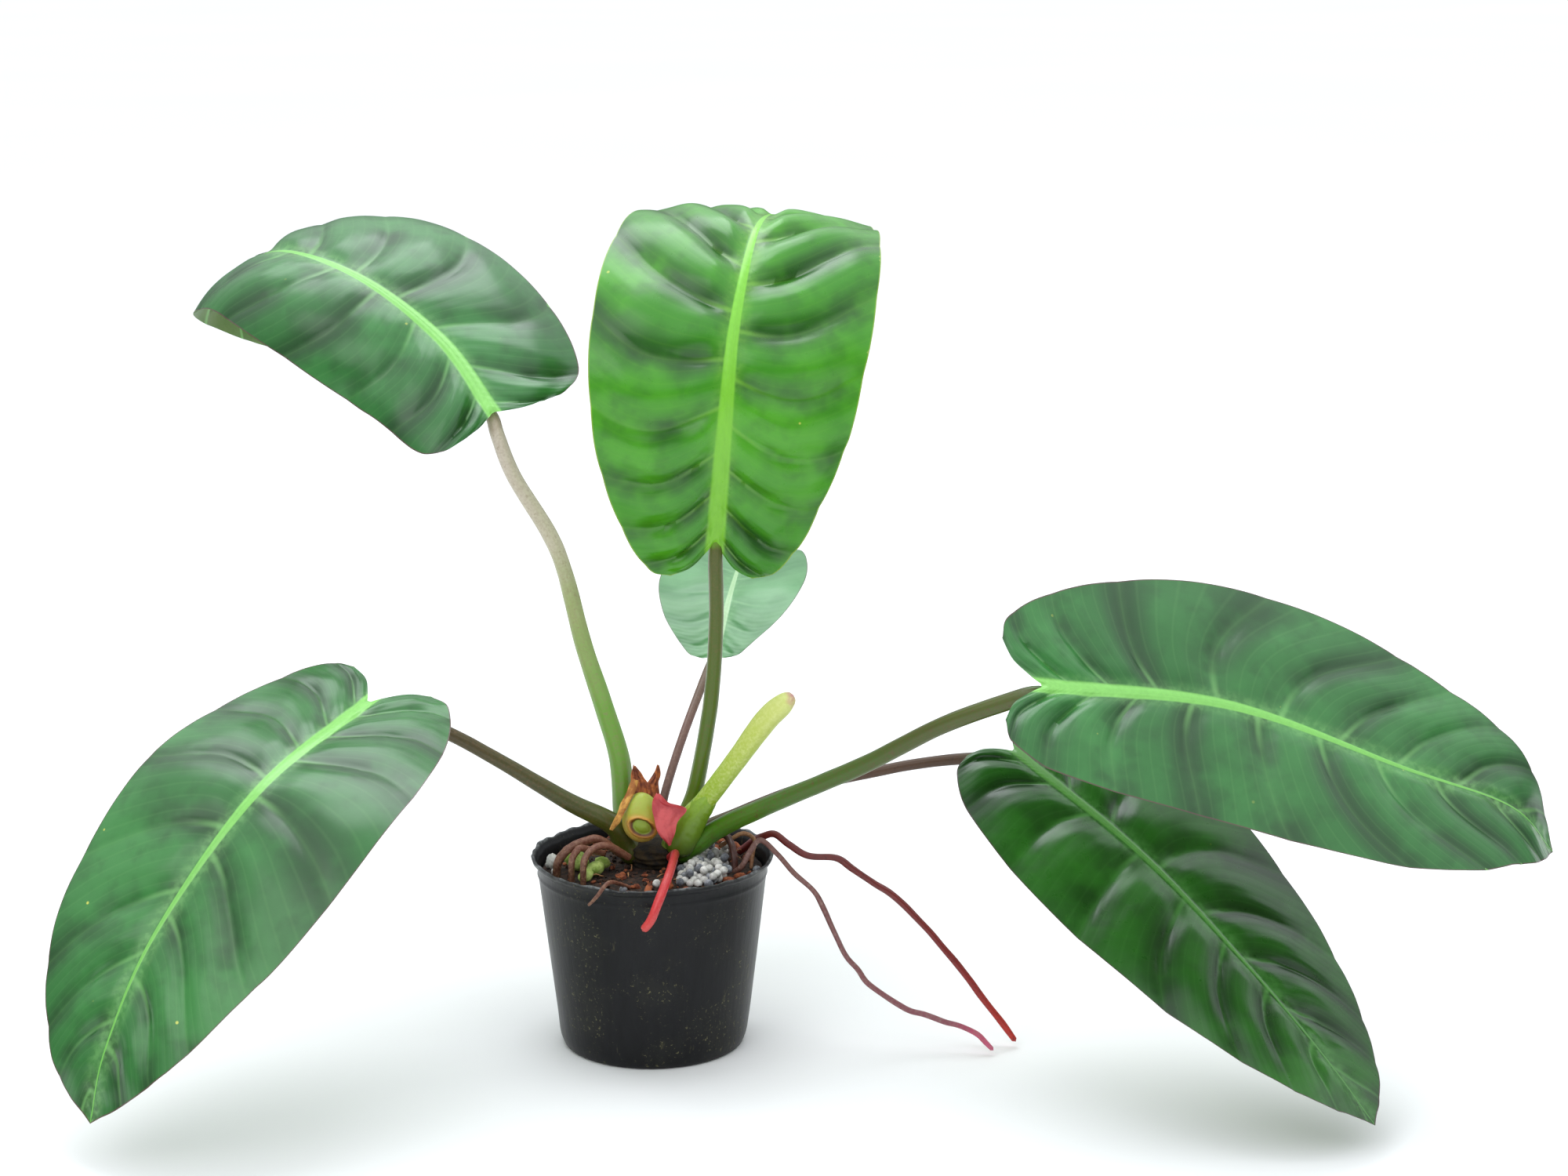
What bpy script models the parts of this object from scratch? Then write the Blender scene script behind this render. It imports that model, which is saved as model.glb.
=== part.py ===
"""Potted philodendron: six heart-based leaves on their petioles, the crown they grow from, aerial and soil
roots, potting mix with its grit, and a thin black nursery pot. Metres, +Z up, origin at the centre of the
pot's underside."""

import math

import bmesh
import bpy
import numpy as np

MM = 0.001
GAP = 0.3 * MM

# Pot, a thin tapered nursery pot with a flared lip.
POT_RIM_RADIUS = 60.0 * MM
POT_TOP_RADIUS = 57.3 * MM
POT_FOOT_RADIUS = 47.0 * MM
POT_BASE_RADIUS = 43.5 * MM
POT_HEIGHT = 97.2 * MM
POT_WALL = 1.2 * MM
POT_LIP_HEIGHT = 4.2 * MM
POT_FOOT_HEIGHT = 7.0 * MM
POT_SEGMENTS = 40
DRAIN_RADIUS = 3.5 * MM
DRAIN_CIRCLE = 27.0 * MM
DRAIN_COUNT = 6

# Potting mix, a low mound with a well for the stem.
SOIL_EDGE_HEIGHT = 88.5 * MM
SOIL_TOP_HEIGHT = 91.5 * MM
SOIL_TOP_RADIUS = 42.0 * MM
STEM_CENTRE = (3.0 * MM, 3.0 * MM)
STEM_RADIUS = 11.0 * MM
STEM_BOTTOM = 70.0 * MM
STEM_TOP = 99.0 * MM
STEM_SEGMENTS = 24

# Leaves.
BLADE_THICKNESS = 1.2 * MM
BLADE_ROWS = 17
BLADE_HALF_COLUMNS = 7
PATH_SAMPLES = 400
PETIOLE_SAMPLES = 14
SPEAR_SAMPLES = 12
LONG_ROOT_SAMPLES = 22
ROOT_SAMPLES = 10
TUBE_RESOLUTION = 2
# Half of a blade's outline, from the bottom of the sinus round the lobe to the drip tip: how far along the
# midrib, over the midrib's length, and how far out, over the half width.
SINUS_POINTS = ((0.0, 0.012), (-0.02, 0.07), (-0.052, 0.19), (-0.07, 0.36))
MARGIN_POINTS = (
    (-0.07, 0.36), (-0.055, 0.56), (0.03, 0.77), (0.2, 0.94), (0.4, 1.0), (0.6, 0.94),
    (0.78, 0.74), (0.9, 0.46), (0.96, 0.22), (0.985, 0.08), (1.0, 0.015),
)
WIDEST = 0.4
VEIN_SWEEP = 0.035

# Each leaf: midrib from the petiole to the drip tip in mm, the way its upper face looks at the base and at the
# tip, half widths in mm, how far each half is raised at the midrib and how far it bends over on its way out in
# radians, how long the lobes are, how full the blade is towards the base and the tip, and how far below and
# behind the midrib's foot the petiole ends in mm.
LEAVES = {
    "low_left": dict(
        midrib=((-134, -32, 183), (-176, -104, 160), (-219, -138, 103), (-240, -158, 55),
                (-247, -166, 22)),
        base_face=(-0.15, -0.64, 0.75), tip_face=(-0.54, -0.79, 0.29), widths=(68, 65),
        rise=(0.10, 0.13), bend=(-0.34, -0.36), lobe=1.05, base_full=-0.06, tip_full=0.03, foot=(5.2, 0.0)),
    "upper_right": dict(
        midrib=((183, -102, 209), (271, -88, 196), (352, -96, 168), (403, -90, 148),
                (427, -78, 122)),
        base_face=(0.05, -0.74, 0.68), tip_face=(0.49, -0.53, 0.70), widths=(67, 62),
        rise=(0.14, 0.13), bend=(-0.29, -0.34), lobe=0.97, base_full=-0.1, tip_full=0.0, foot=(5.2, 0.0)),
    "low_right": dict(
        midrib=((176, -29, 158), (236, -61, 115), (281, -98, 74), (315, -126, 38), (336, -144, 12)),
        base_face=(0.02, -0.57, 0.82), tip_face=(0.78, -0.57, 0.24), widths=(61, 60),
        rise=(0.10, 0.10), bend=(-0.27, -0.37), lobe=0.79, base_full=-0.1, tip_full=0.1, foot=(4.4, 0.0)),
    "centre": dict(
        midrib=((32, -2, 254), (37, -22, 312), (42, -10, 362), (52, 34, 402), (63, 92, 402),
                (70, 142, 380)),
        base_face=(0.08, -0.97, 0.2), tip_face=(0.02, 0.22, 0.97), widths=(69, 66),
        rise=(0.11, 0.09), bend=(-0.40, -0.42), lobe=0.92, base_full=-0.2, tip_full=0.1, foot=(5.2, 0.0)),
    "back_small": dict(
        midrib=((29, 112, 168), (37, 155, 194), (43, 205, 203), (46, 250, 193)),
        base_face=(-0.2, -0.6, 0.8), tip_face=(0.0, -0.1, 0.98), widths=(41, 39),
        rise=(0.20, 0.20), bend=(-0.30, -0.40), lobe=0.0, base_full=-0.85, tip_full=0.0, foot=(0.0, 3.0)),
    "upper_left": dict(
        midrib=((-78, 40, 311), (-106, 68, 343), (-150, 96, 371), (-196, 130, 380), (-221, 163, 359),
                (-208, 188, 320)),
        base_face=(0.12, -0.80, 0.55), tip_face=(-0.5, 0.1, 0.85), widths=(59, 71),
        rise=(0.25, 0.10), bend=(-1.10, -0.78), lobe=0.35, base_full=0.0, tip_full=-0.38, foot=(5.2, 0.0)),
}

# Stalks, each a route in mm and its radius in mm from the crown outwards. A petiole also runs on to its
# blade's foot.
PETIOLES = {
    "low_left": (((-13, -2, 101), (-19, -5, 113), (-42, -9, 127), (-72, -13, 147), (-96, -17, 162),
                  (-120, -24, 175)),
                 (5.5, 5.2, 4.6, 3.8, 3.6, 3.6)),
    "upper_right": (((22, -5, 104), (35, -8, 114), (65, -28, 133), (103, -52, 157), (138, -76, 182)),
                    (5.2, 5.0, 4.6, 4.4, 4.2)),
    "low_right": (((21, 10, 104), (38, 11, 112), (73, 6, 128), (108, 0, 138), (135, -6, 144),
                   (157, -14, 147)),
                  (3.6, 3.2, 2.8, 2.7, 2.7, 2.9)),
    "centre": (((13, 5, 104), (16, 4, 115), (21, 5, 131), (29, 4, 171), (32, 3, 211), (32, 2, 236)),
               (4.5, 4.3, 4.1, 3.9, 3.7, 3.8)),
    "back_small": (((3, 16, 106), (6, 21, 122), (14, 48, 143), (22, 80, 159), (26, 99, 166)),
                   (2.2, 2.2, 2.2, 2.3, 2.4)),
    "upper_left": (((-11, 10, 104), (-14, 8, 115), (-16, 10, 142), (-24, 14, 169), (-34, 20, 199),
                    (-43, 27, 233), (-51, 32, 252), (-68, 38, 279), (-76, 41, 298)),
                   (5.8, 5.6, 5.2, 4.8, 4.4, 4.0, 4.0, 3.8, 3.7)),
}
ROOTS = {
    "red_root": (((12, -20, 103.5), (12, -32, 104.5), (11, -48, 104), (9, -63, 101), (5, -68, 92), (2, -69, 85),
                  (-2, -70, 80)), (2.1, 2.1, 2.1, 2.15, 2.15, 2.1, 1.5)),
    "aerial_root_upper": (((46, 14, 95), (51, 9, 101), (55, 2, 104.5), (61, -2, 107), (68, -6, 103),
                           (77, -8, 98), (91, -9, 97), (99, -10, 92), (110, -10, 84), (120, -9, 77),
                           (136, -8, 60), (155, -9, 37), (163, -10, 26), (173, -12, 13.5), (181, -14, 2.6)),
                          (1.8, 1.75, 1.75, 1.7, 1.75, 1.7, 1.7, 1.7, 1.65, 1.7, 1.65, 1.7, 1.7, 1.7, 1.2)),
    "aerial_root_lower": (((45, -16, 95), (49, -13, 102), (54, -12, 107), (62, -13, 100.5), (70, -15, 91.5),
                           (80, -18, 83), (85, -19, 74), (95, -18, 51), (102, -17, 41.5), (108, -17, 33.5),
                           (125, -18, 22), (135, -19, 19), (145, -20, 15.6), (152, -21, 14), (161, -22, 10),
                           (165.5, -24, 6), (169, -26, 2.8)),
                          (1.4, 1.35, 1.35, 1.3, 1.35, 1.3, 1.35, 1.3, 1.35, 1.4, 1.4, 1.35, 1.35, 1.35,
                           1.35, 1.3, 0.9)),
    "brown_root_outer": (((-25, -17, 109), (-33, -18, 108), (-39, -19.5, 105.5), (-43, -21, 102),
                          (-45.5, -22, 97.5), (-46, -22, 93.6)), (2.1, 2.2, 2.2, 2.2, 2.1, 1.8)),
    "brown_root_middle": (((-33, -25, 107), (-35.5, -26.5, 106), (-37.5, -28, 103), (-38, -30, 99),
                           (-38, -31, 94.4)), (1.7, 1.7, 1.7, 1.6, 1.4)),
    "brown_root_inner": (((-19, -23, 107), (-24, -26, 108.5), (-28, -29, 107.5), (-31, -33, 104.5),
                          (-32, -36, 100), (-32, -37, 94.4)), (1.8, 1.8, 1.8, 1.7, 1.6, 1.4)),
    "rootlet_over_rim": (((-13, -49, 96.5), (-17, -56, 100), (-20, -61, 99.8), (-24, -64, 95),
                          (-28, -65, 91)),
                         (1.0, 1.0, 1.0, 0.9, 0.7)),
    "dark_root": (((33, 4, 105.5), (37, 1, 105), (39, -3, 103), (40, -7, 101), (41, -10.5, 97),
                   (41, -12.5, 94)),
                  (1.8, 1.8, 1.8, 1.75, 1.7, 1.5)),
    "tan_root": (((40, 4, 103), (44, 5, 105), (48, 5, 104.5), (51, 2.5, 102), (50, -2, 98), (49, -6, 94)),
                 (1.1, 1.1, 1.1, 1.1, 1.0, 0.8)),
}
SPEAR = (((13, -8, 110), (20, -9, 119), (27, -10, 127), (42, -16, 149), (56, -22, 170), (65, -26, 180),
          (70, -28, 185)), (5.2, 5.4, 5.2, 5.2, 5.8, 5.2, 2.4))

# Crown pieces.
BUD_CENTRE = (-4.5, -11.0, 118.0)
BUD_SIZE = (9.3, 8.6, 12.0)
CATAPHYLL = ((8.9, -20.5, 108.5), (4.8, -21, 112.9), (2.5, -21.5, 118.8), (1.7, -21.5, 125), (1, -21, 131.5),
             (4.5, -21, 132.6), (8.4, -20.5, 128.8), (17.2, -17, 125.1), (13.4, -18.5, 118.8), (11.8, -20, 112.9))
CATAPHYLL_THICKNESS = 0.8 * MM
DRY_SHEATH = ((-10, 0.5, 122), (-10, 0.5, 127), (-10, 0.5, 133.2), (-8.4, 0, 141.4), (-5.5, 0.3, 137.5),
              (-2.5, 0.5, 135.5), (0.5, 0.3, 138.2), (3.5, 0, 141.8), (4.1, 0, 138), (2.5, 0.5, 133),
              (3.8, 0.5, 124), (-3, 0.5, 120))
DRY_STRIP = ((-9, -18, 136), (-6.5, -19, 136.5), (-11.5, -21, 129), (-15, -21, 122), (-18, -19.5, 115),
             (-19.5, -18.5, 116), (-16.5, -20, 124), (-12, -20.5, 131))
SHEATH_THICKNESS = 0.6 * MM

# Grit and chips on the potting mix: centre in mm and size in mm.
BEAD_RADIUS = 2.1
BEAD_ROUNDS = 2
CHIP_ROUNDS = 2
BUD_ROUNDS = 3
BEADS = (
    (16, -24), (21.5, -20), (26.5, -25), (32, -21), (18, -31), (24.5, -31), (30.5, -29), (20, -12.5),
    (26, -13), (31.5, -9), (25, -3), (31, 0),
)
BARK = (
    ("bark_chip_back", (24, 30, 95.0), (13, 8, 6), 0.4), ("bark_chip_right", (41, 24, 95.0), (9, 6, 5), 1.1),
    ("bark_chip_front", (8, -43, 94.8), (9, 6, 4.5), 2.3), ("bark_chip_left", (-40, 16, 95.0), (10, 6, 6), 0.9),
)
STONES = (
    ("green_stone_large", (-37, -10, 95.8), (12, 14, 7.6), 0.3),
    ("green_stone_small", (-27, -22, 95.1), (9, 8, 6), 1.4),
    ("white_chunk", (-49, -8, 94.6), (5.5, 4.5, 7), 0.2),
)

COLOURS = {
    "leaf": ((0.10, 0.32, 0.07), 0.35), "young_leaf": ((0.16, 0.45, 0.03), 0.3),
    "petiole": ((0.18, 0.26, 0.05), 0.5), "pale_petiole": ((0.45, 0.45, 0.28), 0.5),
    "spear": ((0.45, 0.55, 0.10), 0.4), "crown": ((0.20, 0.22, 0.06), 0.7),
    "bud": ((0.68, 0.55, 0.15), 0.5), "cataphyll": ((0.65, 0.10, 0.10), 0.4),
    "dry_sheath": ((0.45, 0.16, 0.03), 0.8), "red_root": ((0.55, 0.05, 0.05), 0.4),
    "brown_root": ((0.16, 0.05, 0.04), 0.6), "soil": ((0.05, 0.025, 0.015), 0.95),
    "bark": ((0.28, 0.08, 0.03), 0.9), "grit": ((0.8, 0.8, 0.78), 0.8),
    "green_stone": ((0.35, 0.5, 0.15), 0.85), "pot": ((0.012, 0.013, 0.014), 0.4),
}


def clear_scene():
    """Empties the scene and the data that its objects leave."""
    for obj in list(bpy.data.objects):
        bpy.data.objects.remove(obj, do_unlink=True)


def make_material(name):
    """The plain finish of one kind of piece."""
    colour, roughness = COLOURS[name]
    material = bpy.data.materials.new(name)
    material.use_nodes = True
    shader = material.node_tree.nodes["Principled BSDF"]
    shader.inputs["Base Color"].default_value = (*colour, 1.0)
    shader.inputs["Roughness"].default_value = roughness
    shader.inputs["Metallic"].default_value = 0.0
    return material


def add_object(name, data, material, collection):
    """Links a new object for this mesh or curve, with its finish."""
    obj = bpy.data.objects.new(name, data)
    data.materials.append(material)
    collection.objects.link(obj)
    return obj


def shade_round(mesh, degrees=50.0):
    """Smooth shading, with edges kept sharp past this angle."""
    mesh.shade_smooth()
    mesh.set_sharp_from_angle(angle=math.radians(degrees))


def metres(points):
    """Millimetre points as an array in metres."""
    return np.array(points, float) * MM


def unit(vectors):
    """The same directions at length one."""
    vectors = np.asarray(vectors, float)
    return vectors / np.linalg.norm(vectors, axis=-1, keepdims=True)


def smooth_path(points, samples):
    """Points of a Catmull-Rom curve through these, as many as asked, and how far along each one lies."""
    points = np.asarray(points, float)
    spans = len(points) - 1
    ends = np.vstack([2 * points[0] - points[1], points, 2 * points[-1] - points[-2]])
    place = np.linspace(0.0, spans, samples)
    index = np.minimum(place.astype(int), spans - 1)
    f = (place - index)[:, None]
    a, b, c, d = ends[index], ends[index + 1], ends[index + 2], ends[index + 3]
    path = 0.5 * (2 * b + (c - a) * f + (2 * a - 5 * b + 4 * c - d) * f**2 + (3 * b - a - 3 * c + d) * f**3)
    steps = np.linalg.norm(np.diff(path, axis=0), axis=1)
    return path, np.concatenate([[0.0], np.cumsum(steps)])


def read_path(path, along, places):
    """The path's points at these distances along it."""
    return np.stack([np.interp(places, along, path[:, k]) for k in range(path.shape[1])], axis=-1)


def half_outline(leaf, points):
    """These outline points with this leaf's lobe length and fullness."""
    outline = np.array(points, float)
    behind = outline[:, 0] < 0
    outline[behind, 0] *= leaf["lobe"]
    to_base = np.clip(WIDEST - outline[:, 0], 0, None) / 0.5
    to_tip = np.clip(outline[:, 0] - WIDEST, 0, None) / 0.6
    outline[:, 1] *= 1 + leaf["base_full"] * to_base**2 + leaf["tip_full"] * to_tip**2
    return outline


def half_plan(leaf, rows, columns):
    """A half blade laid flat: rows run out along the side veins, columns from the midrib to the margin."""
    sinus, sinus_along = smooth_path(half_outline(leaf, SINUS_POINTS), 100)
    margin, margin_along = smooth_path(half_outline(leaf, MARGIN_POINTS), 300)
    t = np.linspace(0.0, 1.0, rows)[:, None, None]
    v = np.linspace(0.0, 1.0, columns)[None, :, None]
    rim = read_path(margin, margin_along, t[:, 0, 0] * margin_along[-1])[:, None]
    root = read_path(sinus, sinus_along, v[0, :, 0] * sinus_along[-1])[None]
    rib = np.concatenate([t**1.25, np.zeros_like(t)], axis=-1)
    plan = (1 - v) * rib + v * rim + (root - (1 - v) * rib[:1] - v * rim[:1]) * (1 - t) ** 5
    plan[..., 0] -= (VEIN_SWEEP * np.sin(np.pi * v) * np.sin(np.pi * t) ** 0.7)[..., 0]
    return plan


def midrib_frame(leaf, places):
    """The midrib's point, direction, right side and upward normal at these distances from its foot."""
    path, along = smooth_path(metres(leaf["midrib"]), PATH_SAMPLES)
    forward = unit(np.gradient(path, axis=0))
    on_path = np.clip(places, 0.0, along[-1])
    tangent = unit(read_path(forward, along, on_path))
    point = read_path(path, along, on_path) + tangent * (places - on_path)[..., None]
    share = (on_path / along[-1])[..., None]
    face = (1 - share) * unit(leaf["base_face"]) + share * unit(leaf["tip_face"])
    normal = unit(face - (face * tangent).sum(-1, keepdims=True) * tangent)
    return point, tangent, np.cross(tangent, normal), normal


def blade_points(leaf, rows, half_columns):
    """The blade's surface as rows of points from its left margin to its right one."""
    _, along = smooth_path(metres(leaf["midrib"]), PATH_SAMPLES)
    plan = half_plan(leaf, rows, half_columns)
    halves = []
    for side, width, rise, bend in zip((-1, 1), leaf["widths"], leaf["rise"], leaf["bend"]):
        point, _, right, normal = midrib_frame(leaf, plan[..., 0] * along[-1])
        angle = rise + bend * plan[..., 1]
        out = width * MM * (np.sin(angle) - math.sin(rise)) / bend
        up = width * MM * (math.cos(rise) - np.cos(angle)) / bend
        halves.append(point + side * right * out[..., None] + normal * up[..., None])
    return np.concatenate([halves[0][:, :0:-1], halves[1]], axis=1)


def build_blade(name, leaf, material, collection):
    """A blade: a grid laid on the blade's surface, given its thickness."""
    points = blade_points(leaf, BLADE_ROWS, BLADE_HALF_COLUMNS)
    rows, columns = points.shape[:2]
    sheet = bmesh.new()
    bmesh.ops.create_grid(sheet, x_segments=columns - 1, y_segments=rows - 1, size=1.0)
    sheet.verts.ensure_lookup_table()
    for vertex in sheet.verts:
        column = round((vertex.co.x + 1) / 2 * (columns - 1))
        row = round((vertex.co.y + 1) / 2 * (rows - 1))
        vertex.co = points[row, column]
    mesh = bpy.data.meshes.new(name)
    sheet.to_mesh(mesh)
    sheet.free()
    shade_round(mesh)
    blade = add_object(name, mesh, material, collection)
    wall = blade.modifiers.new("thickness", "SOLIDIFY")
    wall.thickness = BLADE_THICKNESS
    wall.offset = 0.0
    return blade


def build_tube(name, route, radii, samples, material, collection):
    """A stalk or root: a round tube along a smooth curve through the route, with its own radius at each point."""
    path, along = smooth_path(metres(route), PATH_SAMPLES)
    keys, _ = smooth_path(np.column_stack([np.arange(len(radii)), metres(radii)]), PATH_SAMPLES)
    places = np.linspace(0.0, along[-1], samples)
    curve = bpy.data.curves.new(name, "CURVE")
    curve.dimensions = "3D"
    curve.bevel_depth = 1.0
    curve.bevel_resolution = TUBE_RESOLUTION
    curve.use_fill_caps = True
    spline = curve.splines.new("POLY")
    spline.points.add(samples - 1)
    thickness = np.interp(places, along, keys[:, 1])
    for point, place, radius in zip(spline.points, read_path(path, along, places), thickness):
        point.co = (*place, 1.0)
        point.radius = radius
    return add_object(name, curve, material, collection)


def petiole_route(name):
    """A petiole's route and radii, with the last point just under the foot of its blade's midrib."""
    route, radii = PETIOLES[name]
    below, behind = LEAVES[name]["foot"]
    point, tangent, _, normal = midrib_frame(LEAVES[name], np.zeros(1))
    foot = point[0] / MM - normal[0] * below - tangent[0] * behind
    return (*route, tuple(foot)), (*radii, radii[-1])


def turned(name, profile, segments, material, collection):
    """A turned solid from a profile in metres that runs down its outer side and ends on the axis."""
    mesh = bpy.data.meshes.new(name)
    mesh.from_pydata([(r, 0.0, z) for r, z in profile], [(i, i + 1) for i in range(len(profile) - 1)], [])
    obj = add_object(name, mesh, material, collection)
    screw = obj.modifiers.new("turn", "SCREW")
    screw.steps = segments
    screw.render_steps = segments
    screw.use_merge_vertices = True
    screw.merge_threshold = 1e-5
    screw.use_smooth_shade = True
    return obj


def wall_radius(height):
    """The pot's outer radius at this height, below its lip."""
    share = (height - POT_FOOT_HEIGHT) / (POT_HEIGHT - POT_LIP_HEIGHT - POT_FOOT_HEIGHT)
    return POT_FOOT_RADIUS + (POT_TOP_RADIUS - POT_FOOT_RADIUS) * share


def build_pot(material, collection, cutters):
    """The nursery pot, one thin shell with drain holes round its floor."""
    lip = POT_HEIGHT - POT_LIP_HEIGHT
    inner = [(0.0, POT_WALL), (POT_BASE_RADIUS - POT_WALL, POT_WALL),
             (POT_FOOT_RADIUS - POT_WALL, POT_FOOT_HEIGHT),
             (POT_TOP_RADIUS - POT_WALL, lip), (POT_RIM_RADIUS - POT_WALL, POT_HEIGHT)]
    outer = [(POT_RIM_RADIUS, POT_HEIGHT), (POT_RIM_RADIUS - 0.4 * MM, POT_HEIGHT - 2.4 * MM),
             (POT_TOP_RADIUS, lip), (POT_FOOT_RADIUS, POT_FOOT_HEIGHT),
             (POT_FOOT_RADIUS - 0.9 * MM, 3.0 * MM), (POT_BASE_RADIUS + 1.2 * MM, 0.8 * MM),
             (POT_BASE_RADIUS, 0.0), (0.0, 0.0)]
    pot = turned("nursery_pot", inner + outer, POT_SEGMENTS, material, collection)
    for index in range(DRAIN_COUNT):
        angle = math.tau * index / DRAIN_COUNT
        cutter_mesh = bpy.data.meshes.new("drain_cutter")
        cylinder = bmesh.new()
        bmesh.ops.create_cone(cylinder, cap_ends=True, segments=12, radius1=DRAIN_RADIUS, radius2=DRAIN_RADIUS,
                              depth=6 * MM)
        cylinder.to_mesh(cutter_mesh)
        cylinder.free()
        cutter = bpy.data.objects.new("drain_cutter", cutter_mesh)
        cutter.location = (DRAIN_CIRCLE * math.cos(angle), DRAIN_CIRCLE * math.sin(angle), 0.0)
        cutter.hide_render = True
        cutter.display_type = "WIRE"
        cutters.objects.link(cutter)
        hole = pot.modifiers.new("drain", "BOOLEAN")
        hole.operation = "DIFFERENCE"
        hole.object = cutter
    return pot


def build_soil(material, collection):
    """The potting mix, as the root ball holds it, with a well for the stem turned about the stem's own axis."""
    floor = POT_WALL + GAP
    side = POT_WALL + GAP
    profile = [(0.0, SOIL_TOP_HEIGHT), (SOIL_TOP_RADIUS, SOIL_TOP_HEIGHT),
               (wall_radius(SOIL_EDGE_HEIGHT) - side, SOIL_EDGE_HEIGHT),
               (POT_FOOT_RADIUS - side, POT_FOOT_HEIGHT), (POT_BASE_RADIUS - side, floor), (0.0, floor)]
    return turned("potting_mix", profile, POT_SEGMENTS, material, collection)


def cut_well(soil, cutters):
    """Cuts the space that the stem fills out of the potting mix."""
    mesh = bpy.data.meshes.new("stem_cutter")
    cylinder = bmesh.new()
    bore = STEM_RADIUS + GAP
    depth = 2 * (STEM_TOP - STEM_BOTTOM)
    bmesh.ops.create_cone(cylinder, cap_ends=True, segments=STEM_SEGMENTS, radius1=bore, radius2=bore, depth=depth)
    cylinder.to_mesh(mesh)
    cylinder.free()
    cutter = bpy.data.objects.new("stem_cutter", mesh)
    cutter.location = (*STEM_CENTRE, STEM_TOP)
    cutter.hide_render = True
    cutter.display_type = "WIRE"
    cutters.objects.link(cutter)
    well = soil.modifiers.new("well", "BOOLEAN")
    well.operation = "DIFFERENCE"
    well.object = cutter


def build_stem(material, collection):
    """The short thick stem that the leaves and roots grow from, with a rounded top."""
    top = STEM_TOP
    profile = [(0.0, top), (STEM_RADIUS * 0.6, top - 1.0 * MM), (STEM_RADIUS * 0.9, top - 3.5 * MM),
               (STEM_RADIUS, top - 7 * MM), (STEM_RADIUS, STEM_BOTTOM + GAP), (0.0, STEM_BOTTOM + GAP)]
    stem = turned("stem_crown", profile, STEM_SEGMENTS, material, collection)
    stem.location = (*STEM_CENTRE, 0.0)
    return stem


def build_lump(name, centre, size, turn, rounds, material, collection):
    """A rounded lump: an ellipsoid with flats and bulges that follow a formula."""
    lump = bmesh.new()
    bmesh.ops.create_icosphere(lump, subdivisions=rounds, radius=0.5)
    for vertex in lump.verts:
        x, y, z = vertex.co
        vertex.co *= 1 + 0.10 * math.sin(7 * x + 11 * y + turn) * math.cos(9 * z + 5 * x)
    mesh = bpy.data.meshes.new(name)
    lump.to_mesh(mesh)
    lump.free()
    shade_round(mesh)
    obj = add_object(name, mesh, material, collection)
    obj.scale = metres(size)
    obj.rotation_euler = (0.0, 0.0, turn)
    obj.location = metres(centre)
    return obj


def build_flake(name, outline, thickness, material, collection):
    """A thin torn scale: one curved face inside this outline, given its thickness."""
    flake = bmesh.new()
    corners = [flake.verts.new(point) for point in metres(outline)]
    middle = flake.verts.new(metres(outline).mean(axis=0) + (0.0, -0.6 * MM, 0.0))
    for here, there in zip(corners, corners[1:] + corners[:1]):
        flake.faces.new((middle, here, there))
    bmesh.ops.recalc_face_normals(flake, faces=flake.faces)
    mesh = bpy.data.meshes.new(name)
    flake.to_mesh(mesh)
    flake.free()
    obj = add_object(name, mesh, material, collection)
    wall = obj.modifiers.new("thickness", "SOLIDIFY")
    wall.thickness = thickness
    wall.offset = 0.0
    return obj


def build_beads(material, collection):
    """Grit beads, each resting on the potting mix."""
    ball = bmesh.new()
    bmesh.ops.create_icosphere(ball, subdivisions=BEAD_ROUNDS, radius=BEAD_RADIUS * MM)
    mesh = bpy.data.meshes.new("grit_bead")
    ball.to_mesh(mesh)
    ball.free()
    mesh.materials.append(material)
    mesh.shade_smooth()
    for number, (x, y) in enumerate(BEADS, 1):
        bead = bpy.data.objects.new(f"grit_bead_{number:02d}", mesh)
        bead.location = (x * MM, y * MM, SOIL_TOP_HEIGHT + GAP + BEAD_RADIUS * MM)
        collection.objects.link(bead)


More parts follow.
